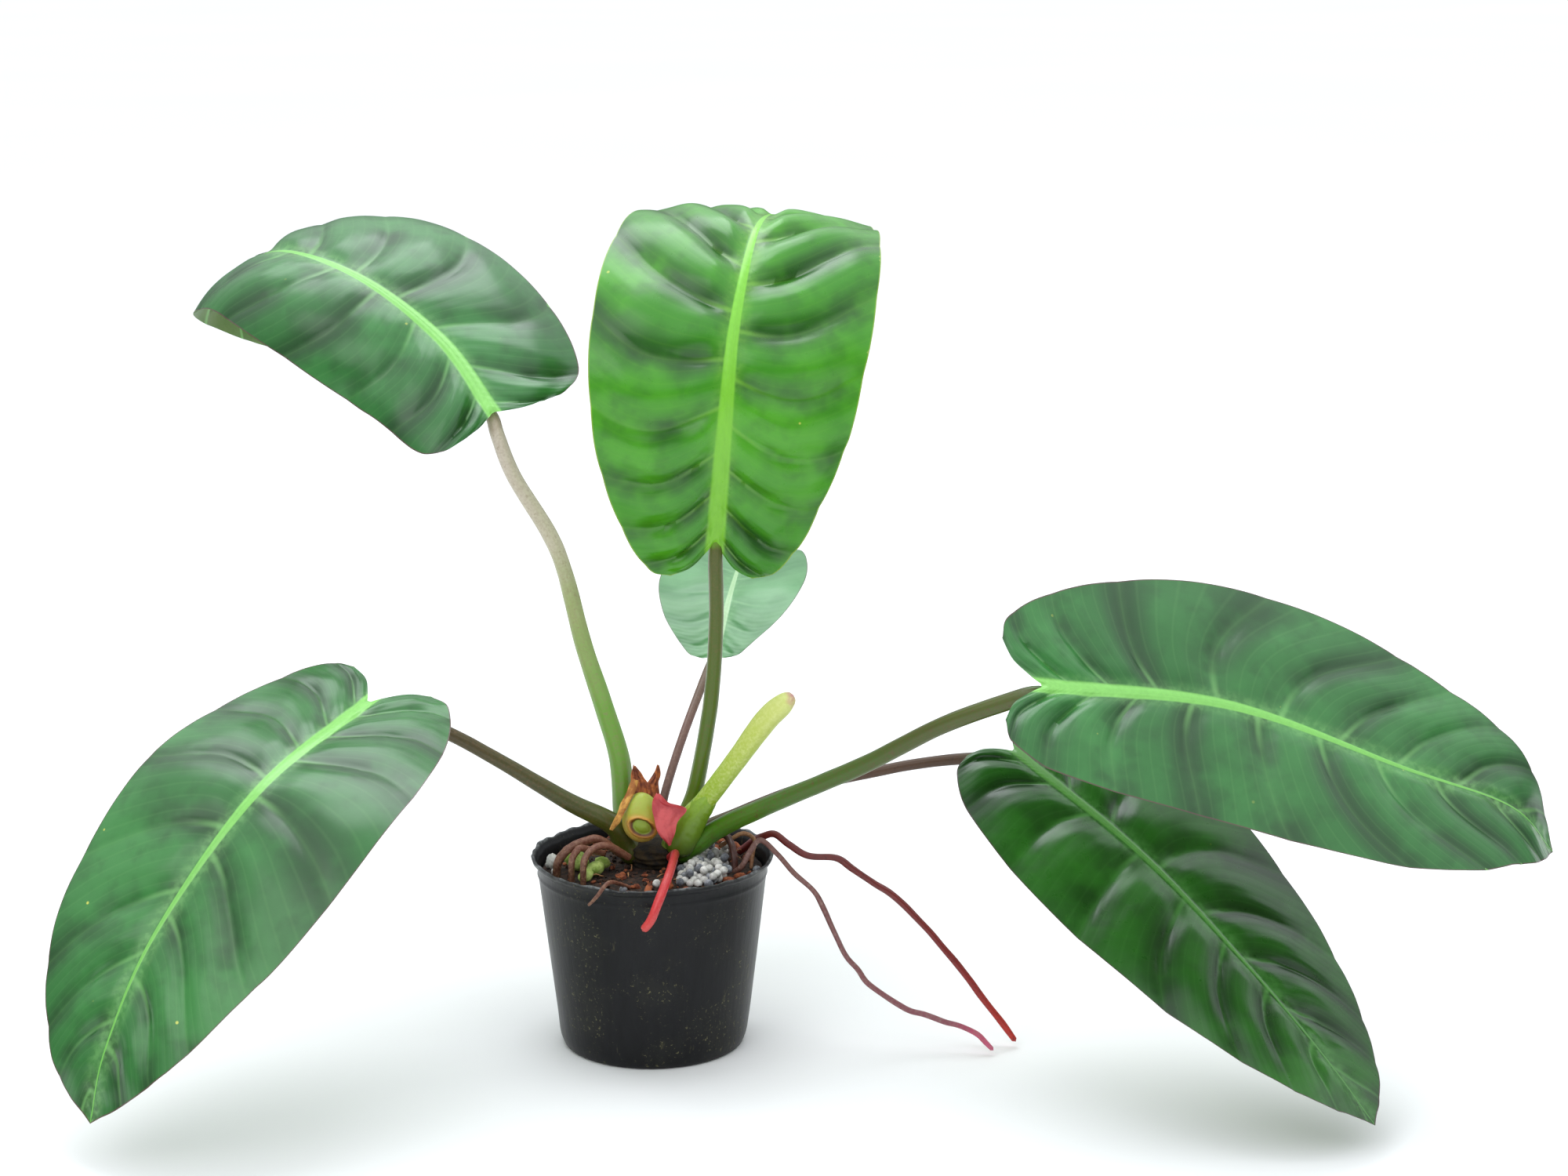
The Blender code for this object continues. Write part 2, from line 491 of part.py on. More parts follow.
def main():
    """Builds the whole plant in its pot."""
    clear_scene()
    parts = bpy.data.collections.new("potted_philodendron")
    cutters = bpy.data.collections.new("cutters")
    bpy.context.scene.collection.children.link(parts)
    bpy.context.scene.collection.children.link(cutters)
    finish = {name: make_material(name) for name in COLOURS}

    build_pot(finish["pot"], parts, cutters)
    soil = build_soil(finish["soil"], parts)
    cut_well(soil, cutters)
    build_stem(finish["crown"], parts)

    for name, leaf in LEAVES.items():
        kind = "young_leaf" if name == "centre" else "leaf"
        build_blade(f"blade_{name}", leaf, finish[kind], parts)
        route, radii = petiole_route(name)
        kind = "pale_petiole" if name == "upper_left" else "petiole"
        build_tube(f"petiole_{name}", route, radii, PETIOLE_SAMPLES, finish[kind], parts)
    build_tube("new_leaf_spear", *SPEAR, SPEAR_SAMPLES, finish["spear"], parts)

    for name, (route, radii) in ROOTS.items():
        kind = "red_root" if name == "red_root" else "brown_root"
        samples = LONG_ROOT_SAMPLES if name.startswith("aerial") else ROOT_SAMPLES
        build_tube(name, route, radii, samples, finish[kind], parts)

    build_lump("crown_bud", BUD_CENTRE, [2 * side for side in BUD_SIZE], 0.0, BUD_ROUNDS, finish["bud"], parts)
    build_flake("red_cataphyll", CATAPHYLL, CATAPHYLL_THICKNESS, finish["cataphyll"], parts)
    build_flake("dry_sheath", DRY_SHEATH, SHEATH_THICKNESS, finish["dry_sheath"], parts)
    build_flake("dry_strip", DRY_STRIP, SHEATH_THICKNESS, finish["dry_sheath"], parts)

    build_beads(finish["grit"], parts)
    for name, centre, size, turn in BARK:
        build_lump(name, centre, size, turn, CHIP_ROUNDS, finish["bark"], parts)
    for name, centre, size, turn in STONES:
        kind = "grit" if name == "white_chunk" else "green_stone"
        build_lump(name, centre, size, turn, CHIP_ROUNDS, finish[kind], parts)


main()
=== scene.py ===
"""Potted philodendron: the finished surfaces of six quilted leaves, their stalks and roots, the crown, the potting mix
and the nursery pot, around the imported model. Lengths are in metres unless a name says mm."""

import logging
import math
import random
from dataclasses import dataclass, field
from enum import Enum
from typing import Any, Sequence

import bmesh
import bpy
import numpy as np
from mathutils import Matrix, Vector


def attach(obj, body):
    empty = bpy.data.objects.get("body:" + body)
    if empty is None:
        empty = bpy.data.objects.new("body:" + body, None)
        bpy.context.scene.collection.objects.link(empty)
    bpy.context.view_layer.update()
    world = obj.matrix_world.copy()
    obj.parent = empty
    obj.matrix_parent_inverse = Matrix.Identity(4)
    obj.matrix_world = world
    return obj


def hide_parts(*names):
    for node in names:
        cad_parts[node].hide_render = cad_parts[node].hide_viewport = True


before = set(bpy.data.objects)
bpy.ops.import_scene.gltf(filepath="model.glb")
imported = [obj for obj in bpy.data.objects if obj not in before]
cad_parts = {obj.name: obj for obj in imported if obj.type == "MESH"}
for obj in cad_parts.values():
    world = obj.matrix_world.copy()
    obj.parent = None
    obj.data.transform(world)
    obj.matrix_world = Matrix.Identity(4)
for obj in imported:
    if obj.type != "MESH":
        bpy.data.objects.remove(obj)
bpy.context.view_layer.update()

LOG = logging.getLogger("potted_philodendron")
MM = 0.001
BODY = "root"
MERGE = 2e-6

Point = tuple[float, float, float]
Rows = np.ndarray


# ---------------------------------------------------------------- numbers and paths


def srgb(code: str) -> tuple[float, float, float, float]:
    """Turns an sRGB hex colour into the linear colour that shaders take.

    Args:
        code: six hex digits, with or without a leading hash.

    Returns:
        Red, green, blue and an alpha of 1, linear.
    """
    digits = code.lstrip("#")
    shares = [int(digits[i : i + 2], 16) / 255 for i in (0, 2, 4)]
    linear = [c / 12.92 if c <= 0.04045 else ((c + 0.055) / 1.055) ** 2.4 for c in shares]
    return (linear[0], linear[1], linear[2], 1.0)


def metres(points: Any) -> Rows:
    """Millimetre values as an array in metres."""
    return np.array(points, float) * MM


def unit(vectors: Any) -> Rows:
    """The same directions at length one."""
    array = np.asarray(vectors, float)
    return array / np.maximum(np.linalg.norm(array, axis=-1, keepdims=True), 1e-12)


def ease(low: float, high: float, value: Any) -> Rows:
    """A smooth step from 0 at low to 1 at high."""
    x = np.clip((np.asarray(value, float) - low) / (high - low), 0.0, 1.0)
    return x * x * (3 - 2 * x)


def smooth_path(points: Any, samples: int = 400) -> tuple[Rows, Rows]:
    """Reads a Catmull-Rom curve through some points.

    Args:
        points: the points that the curve passes through, in order.
        samples: how many points to read.

    Returns:
        The points read, and how far along the curve each one lies.
    """
    keys = np.asarray(points, float)
    spans = len(keys) - 1
    ends = np.vstack([2 * keys[0] - keys[1], keys, 2 * keys[-1] - keys[-2]])
    place = np.linspace(0.0, spans, samples)
    index = np.minimum(place.astype(int), spans - 1)
    f = (place - index)[:, None]
    a, b, c, d = ends[index], ends[index + 1], ends[index + 2], ends[index + 3]
    path = 0.5 * (2 * b + (c - a) * f + (2 * a - 5 * b + 4 * c - d) * f**2 + (3 * b - a - 3 * c + d) * f**3)
    steps = np.linalg.norm(np.diff(path, axis=0), axis=1)
    return path, np.concatenate([[0.0], np.cumsum(steps)])


def read_path(path: Rows, along: Rows, places: Rows) -> Rows:
    """The path's points at these distances along it."""
    return np.stack([np.interp(places, along, path[:, k]) for k in range(path.shape[1])], axis=-1)


def waves(seed: int, count: int, low: float, high: float) -> list[tuple[float, float, float, float]]:
    """Seeded sine waves for soft, uneven shapes: two frequencies, a phase and a share each."""
    draw = random.Random(seed)
    return [
        (draw.uniform(low, high), draw.uniform(-high, high), draw.uniform(0, math.tau), draw.uniform(0.5, 1.0) / count)
        for _ in range(count)
    ]


def ripple(seed: int, count: int, low: float, high: float, x: Rows, y: Rows) -> Rows:
    """A soft uneven field from -1 to 1 over two coordinates, the same each run."""
    total = np.zeros(np.broadcast(x, y).shape)
    for across, along, phase, share in waves(seed, count, low, high):
        total = total + share * np.sin(math.tau * (across * x + along * y) + phase)
    return total


# ---------------------------------------------------------------- meshes


def only_select(obj: bpy.types.Object) -> None:
    """Leaves one object selected and active."""
    bpy.ops.object.select_all(action="DESELECT")
    obj.select_set(True)
    bpy.context.view_layer.objects.active = obj


def settle(obj: bpy.types.Object) -> None:
    """Moves a piece's place, turn and scale into its mesh."""
    only_select(obj)
    bpy.ops.object.transform_apply(location=True, rotation=True, scale=True)


def tidy_surface(obj: bpy.types.Object, smooth_degrees: float = 55.0) -> None:
    """Merges seams and poles, turns the faces outwards and shades the piece smooth.

    Args:
        obj: the piece, a mesh.
        smooth_degrees: edges sharper than this stay sharp.
    """
    only_select(obj)
    bpy.ops.object.mode_set(mode="EDIT")
    bpy.ops.mesh.select_all(action="SELECT")
    bpy.ops.mesh.remove_doubles(threshold=MERGE)
    bpy.ops.mesh.normals_make_consistent(inside=False)
    bpy.ops.mesh.select_all(action="DESELECT")
    bpy.ops.object.mode_set(mode="OBJECT")
    bpy.ops.object.shade_smooth_by_angle(angle=math.radians(smooth_degrees))


def lay_grid(name: str, points: Rows, layers: dict[str, Rows] | None = None) -> bpy.types.Object:
    """Adds a grid and lays it on rows of points, which may wrap round into a closed skin.

    Args:
        name: the piece's name.
        points: rows x columns x 3 places, in metres.
        layers: values to keep on the surface by name, each rows x columns.

    Returns:
        The piece. Its UV map runs across the columns in x and along the rows in y.
    """
    rows, columns = points.shape[:2]
    bpy.ops.object.select_all(action="DESELECT")
    bpy.ops.mesh.primitive_grid_add(x_subdivisions=columns - 1, y_subdivisions=rows - 1, size=2.0)
    obj = bpy.context.object
    obj.name = obj.data.name = name
    flat = np.zeros(len(obj.data.vertices) * 3)
    obj.data.vertices.foreach_get("co", flat)
    flat = flat.reshape(-1, 3)
    column = np.rint((flat[:, 0] + 1) / 2 * (columns - 1)).astype(int)
    row = np.rint((flat[:, 1] + 1) / 2 * (rows - 1)).astype(int)
    obj.data.vertices.foreach_set("co", points[row, column].ravel())
    for layer, values in (layers or {}).items():
        made = obj.data.attributes.new(layer, "FLOAT", "POINT")
        made.data.foreach_set("value", np.broadcast_to(values, (rows, columns))[row, column].astype(np.float32))
    obj.data.update()
    return obj


def apply_modifier(obj: bpy.types.Object, kind: str, **settings: Any) -> None:
    """Adds a modifier with these settings and applies it."""
    only_select(obj)
    modifier = obj.modifiers.new(kind.lower(), kind)
    for key, value in settings.items():
        setattr(modifier, key, value)
    bpy.ops.object.modifier_apply(modifier=modifier.name)


def join_pieces(name: str, pieces: Sequence[bpy.types.Object]) -> bpy.types.Object:
    """Joins small pieces of one kind into one object."""
    only_select(pieces[0])
    for piece in pieces:
        piece.select_set(True)
    bpy.ops.object.join()
    joined = bpy.context.object
    joined.name = joined.data.name = name
    return joined


def copy_piece(source: bpy.types.Object) -> bpy.types.Object:
    """A copy of a piece with a mesh of its own."""
    made = source.copy()
    made.data = source.data.copy()
    bpy.context.scene.collection.objects.link(made)
    return made


# ---------------------------------------------------------------- shader nodes


Socket = bpy.types.NodeSocket


def add_node(
    tree: bpy.types.NodeTree,
    kind: str,
    inputs: dict[Any, Any] | None = None,
    stops: Sequence[tuple[float, str]] = (),
    **settings: Any,
) -> bpy.types.Node:
    """Adds one node with its settings and links.

    Args:
        tree: the material's node tree.
        kind: the node's type, without its ShaderNode prefix.
        inputs: a value, or a socket to link, for each input by name or number.
        stops: a colour ramp's places and hex colours.
        settings: the node's own properties.

    Returns:
        The node.
    """
    node = tree.nodes.new("ShaderNode" + kind)
    for key, value in settings.items():
        setattr(node, key, value)
    for key, value in (inputs or {}).items():
        if isinstance(value, Socket):
            tree.links.new(value, node.inputs[key])
        else:
            node.inputs[key].default_value = value
    if stops:
        ramp = node.color_ramp
        while len(ramp.elements) < len(stops):
            ramp.elements.new(0.5)
        for element, (place, colour) in zip(ramp.elements, stops):
            element.position = place
            element.color = srgb(colour)
    return node


class Shade:
    """One material's node tree, with the few steps that most finishes share."""

    def __init__(self, name: str) -> None:
        """Starts a material with one Principled shader."""
        self.material = bpy.data.materials.new(name)
        self.material.use_nodes = True
        self.tree = self.material.node_tree
        self.shader = self.tree.nodes["Principled BSDF"]
        self.place = self.add("TexCoord").outputs["Object"]

    def add(self, kind: str, inputs: dict[Any, Any] | None = None, **settings: Any) -> bpy.types.Node:
        """Adds a node to this material."""
        return add_node(self.tree, kind, inputs, **settings)

    def math(self, operation: str, *values: Any) -> Socket:
        """One arithmetic step on numbers or sockets."""
        return self.add("Math", dict(enumerate(values)), operation=operation).outputs[0]

    def span(self, value: Socket, low: Any, high: Any, start: float = 0.0, end: float = 1.0) -> Socket:
        """A smooth step of the value from start to end as it goes from low to high."""
        node = self.add(
            "MapRange", {0: value, 1: low, 2: high, 3: start, 4: end}, interpolation_type="SMOOTHSTEP", clamp=True
        )
        return node.outputs[0]

    def mix(self, share: Any, first: Any, second: Any, blend: str = "MIX") -> Socket:
        """Mixes two colours, given as sockets or hex codes."""
        colours = [srgb(c) if isinstance(c, str) else c for c in (first, second)]
        node = self.add("Mix", {0: share, 6: colours[0], 7: colours[1]}, data_type="RGBA", blend_type=blend)
        return node.outputs[2]

    def noise(self, grain_mm: float, detail: float = 3.0, rough: float = 0.5, vector: Socket | None = None) -> Socket:
        """Noise whose features are about this many millimetres across."""
        node = self.add(
            "TexNoise",
            {"Vector": vector or self.place, "Scale": 1000 / grain_mm, "Detail": detail, "Roughness": rough},
        )
        return node.outputs[0]

    def stretched(self, scale: Point) -> Socket:
        """Object coordinates squeezed along each axis, for a pattern that runs one way."""
        return self.add("Mapping", {"Vector": self.place, "Scale": scale}).outputs[0]

    def layer(self, name: str) -> Socket:
        """A value kept on the surface."""
        return self.add("Attribute", attribute_name=name, attribute_type="GEOMETRY").outputs["Fac"]

    def bump(self, height: Socket, depth_mm: float, strength: float = 1.0, normal: Socket | None = None) -> Socket:
        """A bump of this depth from a height between 0 and 1."""
        inputs: dict[Any, Any] = {"Height": height, "Distance": depth_mm * MM, "Strength": strength}
        if normal is not None:
            inputs["Normal"] = normal
        return self.add("Bump", inputs).outputs[0]

    def finish(self, colour: Socket, roughness: Any, normal: Socket | None = None, **fixed: float) -> Any:
        """Links the shader's inputs, and sets the ones that are the same all over.

        Args:
            colour: the base colour.
            roughness: a number or a socket.
            normal: the bumped normal, if there is one.
            fixed: values by socket name, with underscores for spaces.

        Returns:
            The material.
        """
        self.tree.links.new(colour, self.shader.inputs["Base Color"])
        if isinstance(roughness, Socket):
            self.tree.links.new(roughness, self.shader.inputs["Roughness"])
        else:
            self.shader.inputs["Roughness"].default_value = roughness
        if normal is not None:
            self.tree.links.new(normal, self.shader.inputs["Normal"])
        for key, value in fixed.items():
            self.shader.inputs[key.replace("_", " ")].default_value = value
        return self.material


# ---------------------------------------------------------------- finishes


@dataclass(frozen=True)
class LeafFinish:
    """Philodendron leaf: waxy cuticle over quilted green tissue, pale raised midrib, matte paler underside."""

    name: str
    dark: str
    mid: str
    bright: str
    rib: str
    rib_tip: str
    vein: str
    margin: str
    under: str
    roughness: float
    rib_half_mm: float = 2.7
    vein_share: float = 0.4

    def make(self) -> bpy.types.Material:
        """Builds the material. Veins follow the blade's own layers, so they stay on its ridges and valleys."""
        s = Shade(self.name)
        uv = s.add("UVMap", uv_map="UVMap").outputs[0]
        axes = s.add("SeparateXYZ", {0: uv})
        under = s.math("GREATER_THAN", axes.outputs[0], 0.5)
        along = axes.outputs[1]
        rib = s.math("MULTIPLY", s.layer("rib"), 1000.0)
        edge = s.math("MULTIPLY", s.layer("edge"), 1000.0)
        phase = s.layer("vein")

        to_vein = s.math("PINGPONG", phase, 0.5)
        fine = s.math("PINGPONG", s.math("MULTIPLY", phase, 6.0), 0.5)
        patches = s.noise(55.0, 4.0, 0.55)
        cloud = s.noise(12.0, 3.0)

        # Painted shade: the tissue runs dark in the quilting's valleys along the side veins and lighter on the pillows
        # between them.
        tissue = s.mix(s.span(to_vein, 0.04, 0.42), self.dark, self.mid)
        tissue = s.mix(s.span(patches, 0.42, 0.68), tissue, self.bright)
        tissue = s.mix(s.math("MULTIPLY", s.span(cloud, 0.45, 0.75), 0.35), tissue, self.dark)
        tissue = s.mix(s.math("MULTIPLY", s.span(fine, 0.0, 0.14, 1.0, 0.0), 0.05), tissue, self.vein)

        near_rib = s.span(rib, 3.0, 24.0, 1.0, 0.10)
        line = s.span(to_vein, 0.008, 0.075, 1.0, 0.0)
        line = s.math("MULTIPLY", s.math("MULTIPLY", line, near_rib), self.vein_share)
        tissue = s.mix(line, tissue, self.vein)
        halo = s.math("MULTIPLY", s.span(rib, 2.0, 9.0, 1.0, 0.0), s.span(s.noise(3.0, 2.0), 0.35, 0.7, 0.25, 0.75))
        tissue = s.mix(s.math("MULTIPLY", halo, 0.55), tissue, self.vein)

        half = s.span(along, 0.0, 1.0, self.rib_half_mm, 0.35)
        inside = s.math("DIVIDE", rib, half)
        rib_colour = s.mix(along, self.rib, self.rib_tip)
        rib_colour = s.mix(s.math("MULTIPLY", s.noise(2.0, 2.0, 0.5, s.stretched((1.0, 1.0, 0.25))), 0.25), rib_colour, self.mid)
        tissue = s.mix(s.span(inside, 0.75, 1.15, 1.0, 0.0), tissue, rib_colour)

        spot = s.add("TexVoronoi", {"Vector": s.place, "Scale": 70.0, "Randomness": 1.0})
        dot = s.math("MULTIPLY", s.span(spot.outputs["Distance"], 0.03, 0.07, 1.0, 0.0), s.span(patches, 0.54, 0.60))
        tissue = s.mix(s.math("MULTIPLY", dot, 0.8), tissue, "#cfd25a")
        tissue = s.mix(s.span(edge, 0.25, 0.95, 0.85, 0.0), tissue, self.margin)

        below = s.mix(s.span(cloud, 0.3, 0.8, 0.0, 0.5), self.under, self.mid)
        below = s.mix(s.math("MULTIPLY", s.span(to_vein, 0.01, 0.06, 1.0, 0.0), 0.6), below, self.vein)
        below = s.mix(s.span(inside, 0.9, 1.5, 1.0, 0.0), below, self.rib)
        colour = s.mix(under, tissue, below)

        dull = s.math("MULTIPLY_ADD", s.noise(6.0, 3.0), 0.16, self.roughness - 0.08)
        rough = s.math("MAXIMUM", dull, s.math("MULTIPLY", under, 0.55))
        grain = s.bump(s.noise(0.9, 2.0), 0.05, 0.5)
        normal = s.bump(s.span(fine, 0.0, 0.5), 0.12, 0.45, grain)
        return s.finish(colour, rough, normal, Coat_Weight=0.5, Coat_Roughness=0.24,
                        Specular_IOR_Level=0.3)


@dataclass(frozen=True)
class StalkFinish:
    """Petiole and root skin: smooth living tissue, ribbed lengthwise, with corky flecks and scars."""

    name: str
    colours: tuple[tuple[float, str], ...]
    fleck: str
    fleck_share: float
    roughness: float
    ribs: int = 14

    def make(self) -> bpy.types.Material:
        """Builds the material. Its colours run along the stalk, from the crown outwards."""
        s = Shade(self.name)
        uv = s.add("UVMap", uv_map="UVMap").outputs[0]
        axes = s.add("SeparateXYZ", {0: uv})
        drift = s.math("MULTIPLY_ADD", s.noise(9.0, 2.0), 0.12, -0.06)
        along = s.math("ADD", axes.outputs[1], drift)
        colour = s.add("ValToRGB", {0: along}, stops=self.colours).outputs[0]
        turns = s.math("MULTIPLY", axes.outputs[0], float(self.ribs))
        groove = s.span(s.math("PINGPONG", turns, 0.5), 0.0, 0.5)
        streak = s.noise(1.4, 3.0, 0.6)
        colour = s.mix(s.math("MULTIPLY", s.span(streak, 0.35, 0.75), 0.35), colour, self.fleck)
        scar = s.math("MULTIPLY", s.span(s.noise(3.2, 3.0, 0.65), 0.60, 0.68), self.fleck_share)
        colour = s.mix(scar, colour, self.fleck)
        rough = s.math("MULTIPLY_ADD", s.noise(2.0, 2.0), 0.2, self.roughness - 0.1)
        skin = s.bump(s.noise(0.6, 3.0), 0.08, 0.6)
        normal = s.bump(groove, 0.10, 0.5, skin)
        return s.finish(colour, rough, normal, Coat_Weight=0.12, Coat_Roughness=0.3)


@dataclass(frozen=True)
class GrainFinish:
    """Loose or dried matter, such as bark, coir, pumice or papery sheath: two tones and a crumbly surface."""

    name: str
    light: str
    dark: str
    grain_mm: float
    depth_mm: float
    roughness: float
    sheen: float = 0.0

    def make(self) -> bpy.types.Material:
        """Builds the material from noise at this matter's own grain."""
        s = Shade(self.name)
        coarse = s.noise(self.grain_mm * 3, 4.0, 0.6)
        fine = s.noise(self.grain_mm, 4.0, 0.65)
        colour = s.mix(s.span(coarse, 0.38, 0.62), self.dark, self.light)
        colour = s.mix(s.math("MULTIPLY", s.span(fine, 0.5, 0.75), 0.5), colour, self.dark)
        normal = s.bump(fine, self.depth_mm, 0.9)
        return s.finish(colour, self.roughness, normal, Sheen_Weight=self.sheen)


@dataclass(frozen=True)
class PotFinish:
    """Blow-moulded black polyethylene: thin, slightly waxy, with dust and dried splashes of water."""

    name: str = "blown_black_polyethylene"

    def make(self) -> bpy.types.Material:
        """Builds the material: soft sheen, upright flow lines, beige-green dust on the outside, and a painted highlight
        along the lip's top edge.
        """
        s = Shade(self.name)
        flow = s.noise(3.0, 3.0, 0.5, s.stretched((1.0, 1.0, 0.12)))
        smear = s.noise(26.0, 4.0, 0.6)
        speck = s.noise(1.6, 3.0, 0.6)
        big = s.noise(5.0, 4.0, 0.7)
        colour = s.mix(flow, "#0a0a0c", "#17181b")
        dusty = s.math("MULTIPLY", s.span(speck, 0.60, 0.70), s.span(smear, 0.45, 0.62))
        dusty = s.math("MAXIMUM", s.math("MULTIPLY", dusty, 0.55), s.math("MULTIPLY", s.span(big, 0.70, 0.76), 0.6))
        colour = s.mix(dusty, colour, "#7c7854")
        film = s.math("MULTIPLY", s.span(smear, 0.45, 0.72), 0.10)
        colour = s.mix(film, colour, "#4c4c3c")
        streak = s.noise(7.0, 4.0, 0.65, s.stretched((1.0, 1.0, 0.3)))
        colour = s.mix(s.math("MULTIPLY", s.span(streak, 0.64, 0.74), 0.35), colour, "#6a6644")
        height = s.add("SeparateXYZ", {0: s.place}).outputs[2]
        # Painted highlight: the top edge of the lip turns lighter grey in uneven patches.
        lip_edge_highlight = s.math("MULTIPLY", s.span(height, 0.0955, 0.0972), s.span(s.noise(2.5, 3.0), 0.4, 0.65, 0.15, 0.6))
        colour = s.mix(lip_edge_highlight, colour, "#8c8f90")
        rough = s.math("ADD", s.math("MULTIPLY_ADD", smear, 0.22, 0.24), s.math("MULTIPLY", dusty, 0.3))
        rise = s.bump(flow, 0.22, 0.6)
        normal = s.bump(speck, 0.06, 0.4, rise)
        return s.finish(colour, rough, normal, Specular_IOR_Level=0.22)


@dataclass(frozen=True)
class BudFinish:
    """Bud skin, yellow-green over its dome and straw below, torn open to a green heart with a scorched rim."""

    name: str = "torn_bud_skin"

    def make(self) -> bpy.types.Material:
        """Builds the material. The tear follows the bud's own layer, which is 1 along its rim."""
        s = Shade(self.name)
        height = s.add("SeparateXYZ", {0: s.place}).outputs[2]
        blotch = s.math("MULTIPLY_ADD", s.noise(5.0, 3.0), 0.008, -0.004)
        colour = s.mix(s.span(s.math("ADD", height, blotch), 0.110, 0.127), "#d2b552", "#a3b03a")
        colour = s.mix(s.math("MULTIPLY", s.span(s.noise(2.2, 4.0, 0.7), 0.55, 0.72), 0.5), colour, "#b07028")
        tear = s.layer("opening")
        colour = s.mix(s.span(tear, 1.0, 1.55, 0.8, 0.0), colour, "#d08a34")
        colour = s.mix(s.span(tear, 0.86, 1.08, 1.0, 0.0), colour, "#5a2c10")
        colour = s.mix(s.span(tear, 0.74, 0.88, 1.0, 0.0), colour, "#8fa632")
        normal = s.bump(s.noise(1.2, 4.0, 0.6), 0.2, 0.6)
        return s.finish(colour, 0.42, normal, Coat_Weight=0.15, Coat_Roughness=0.3)


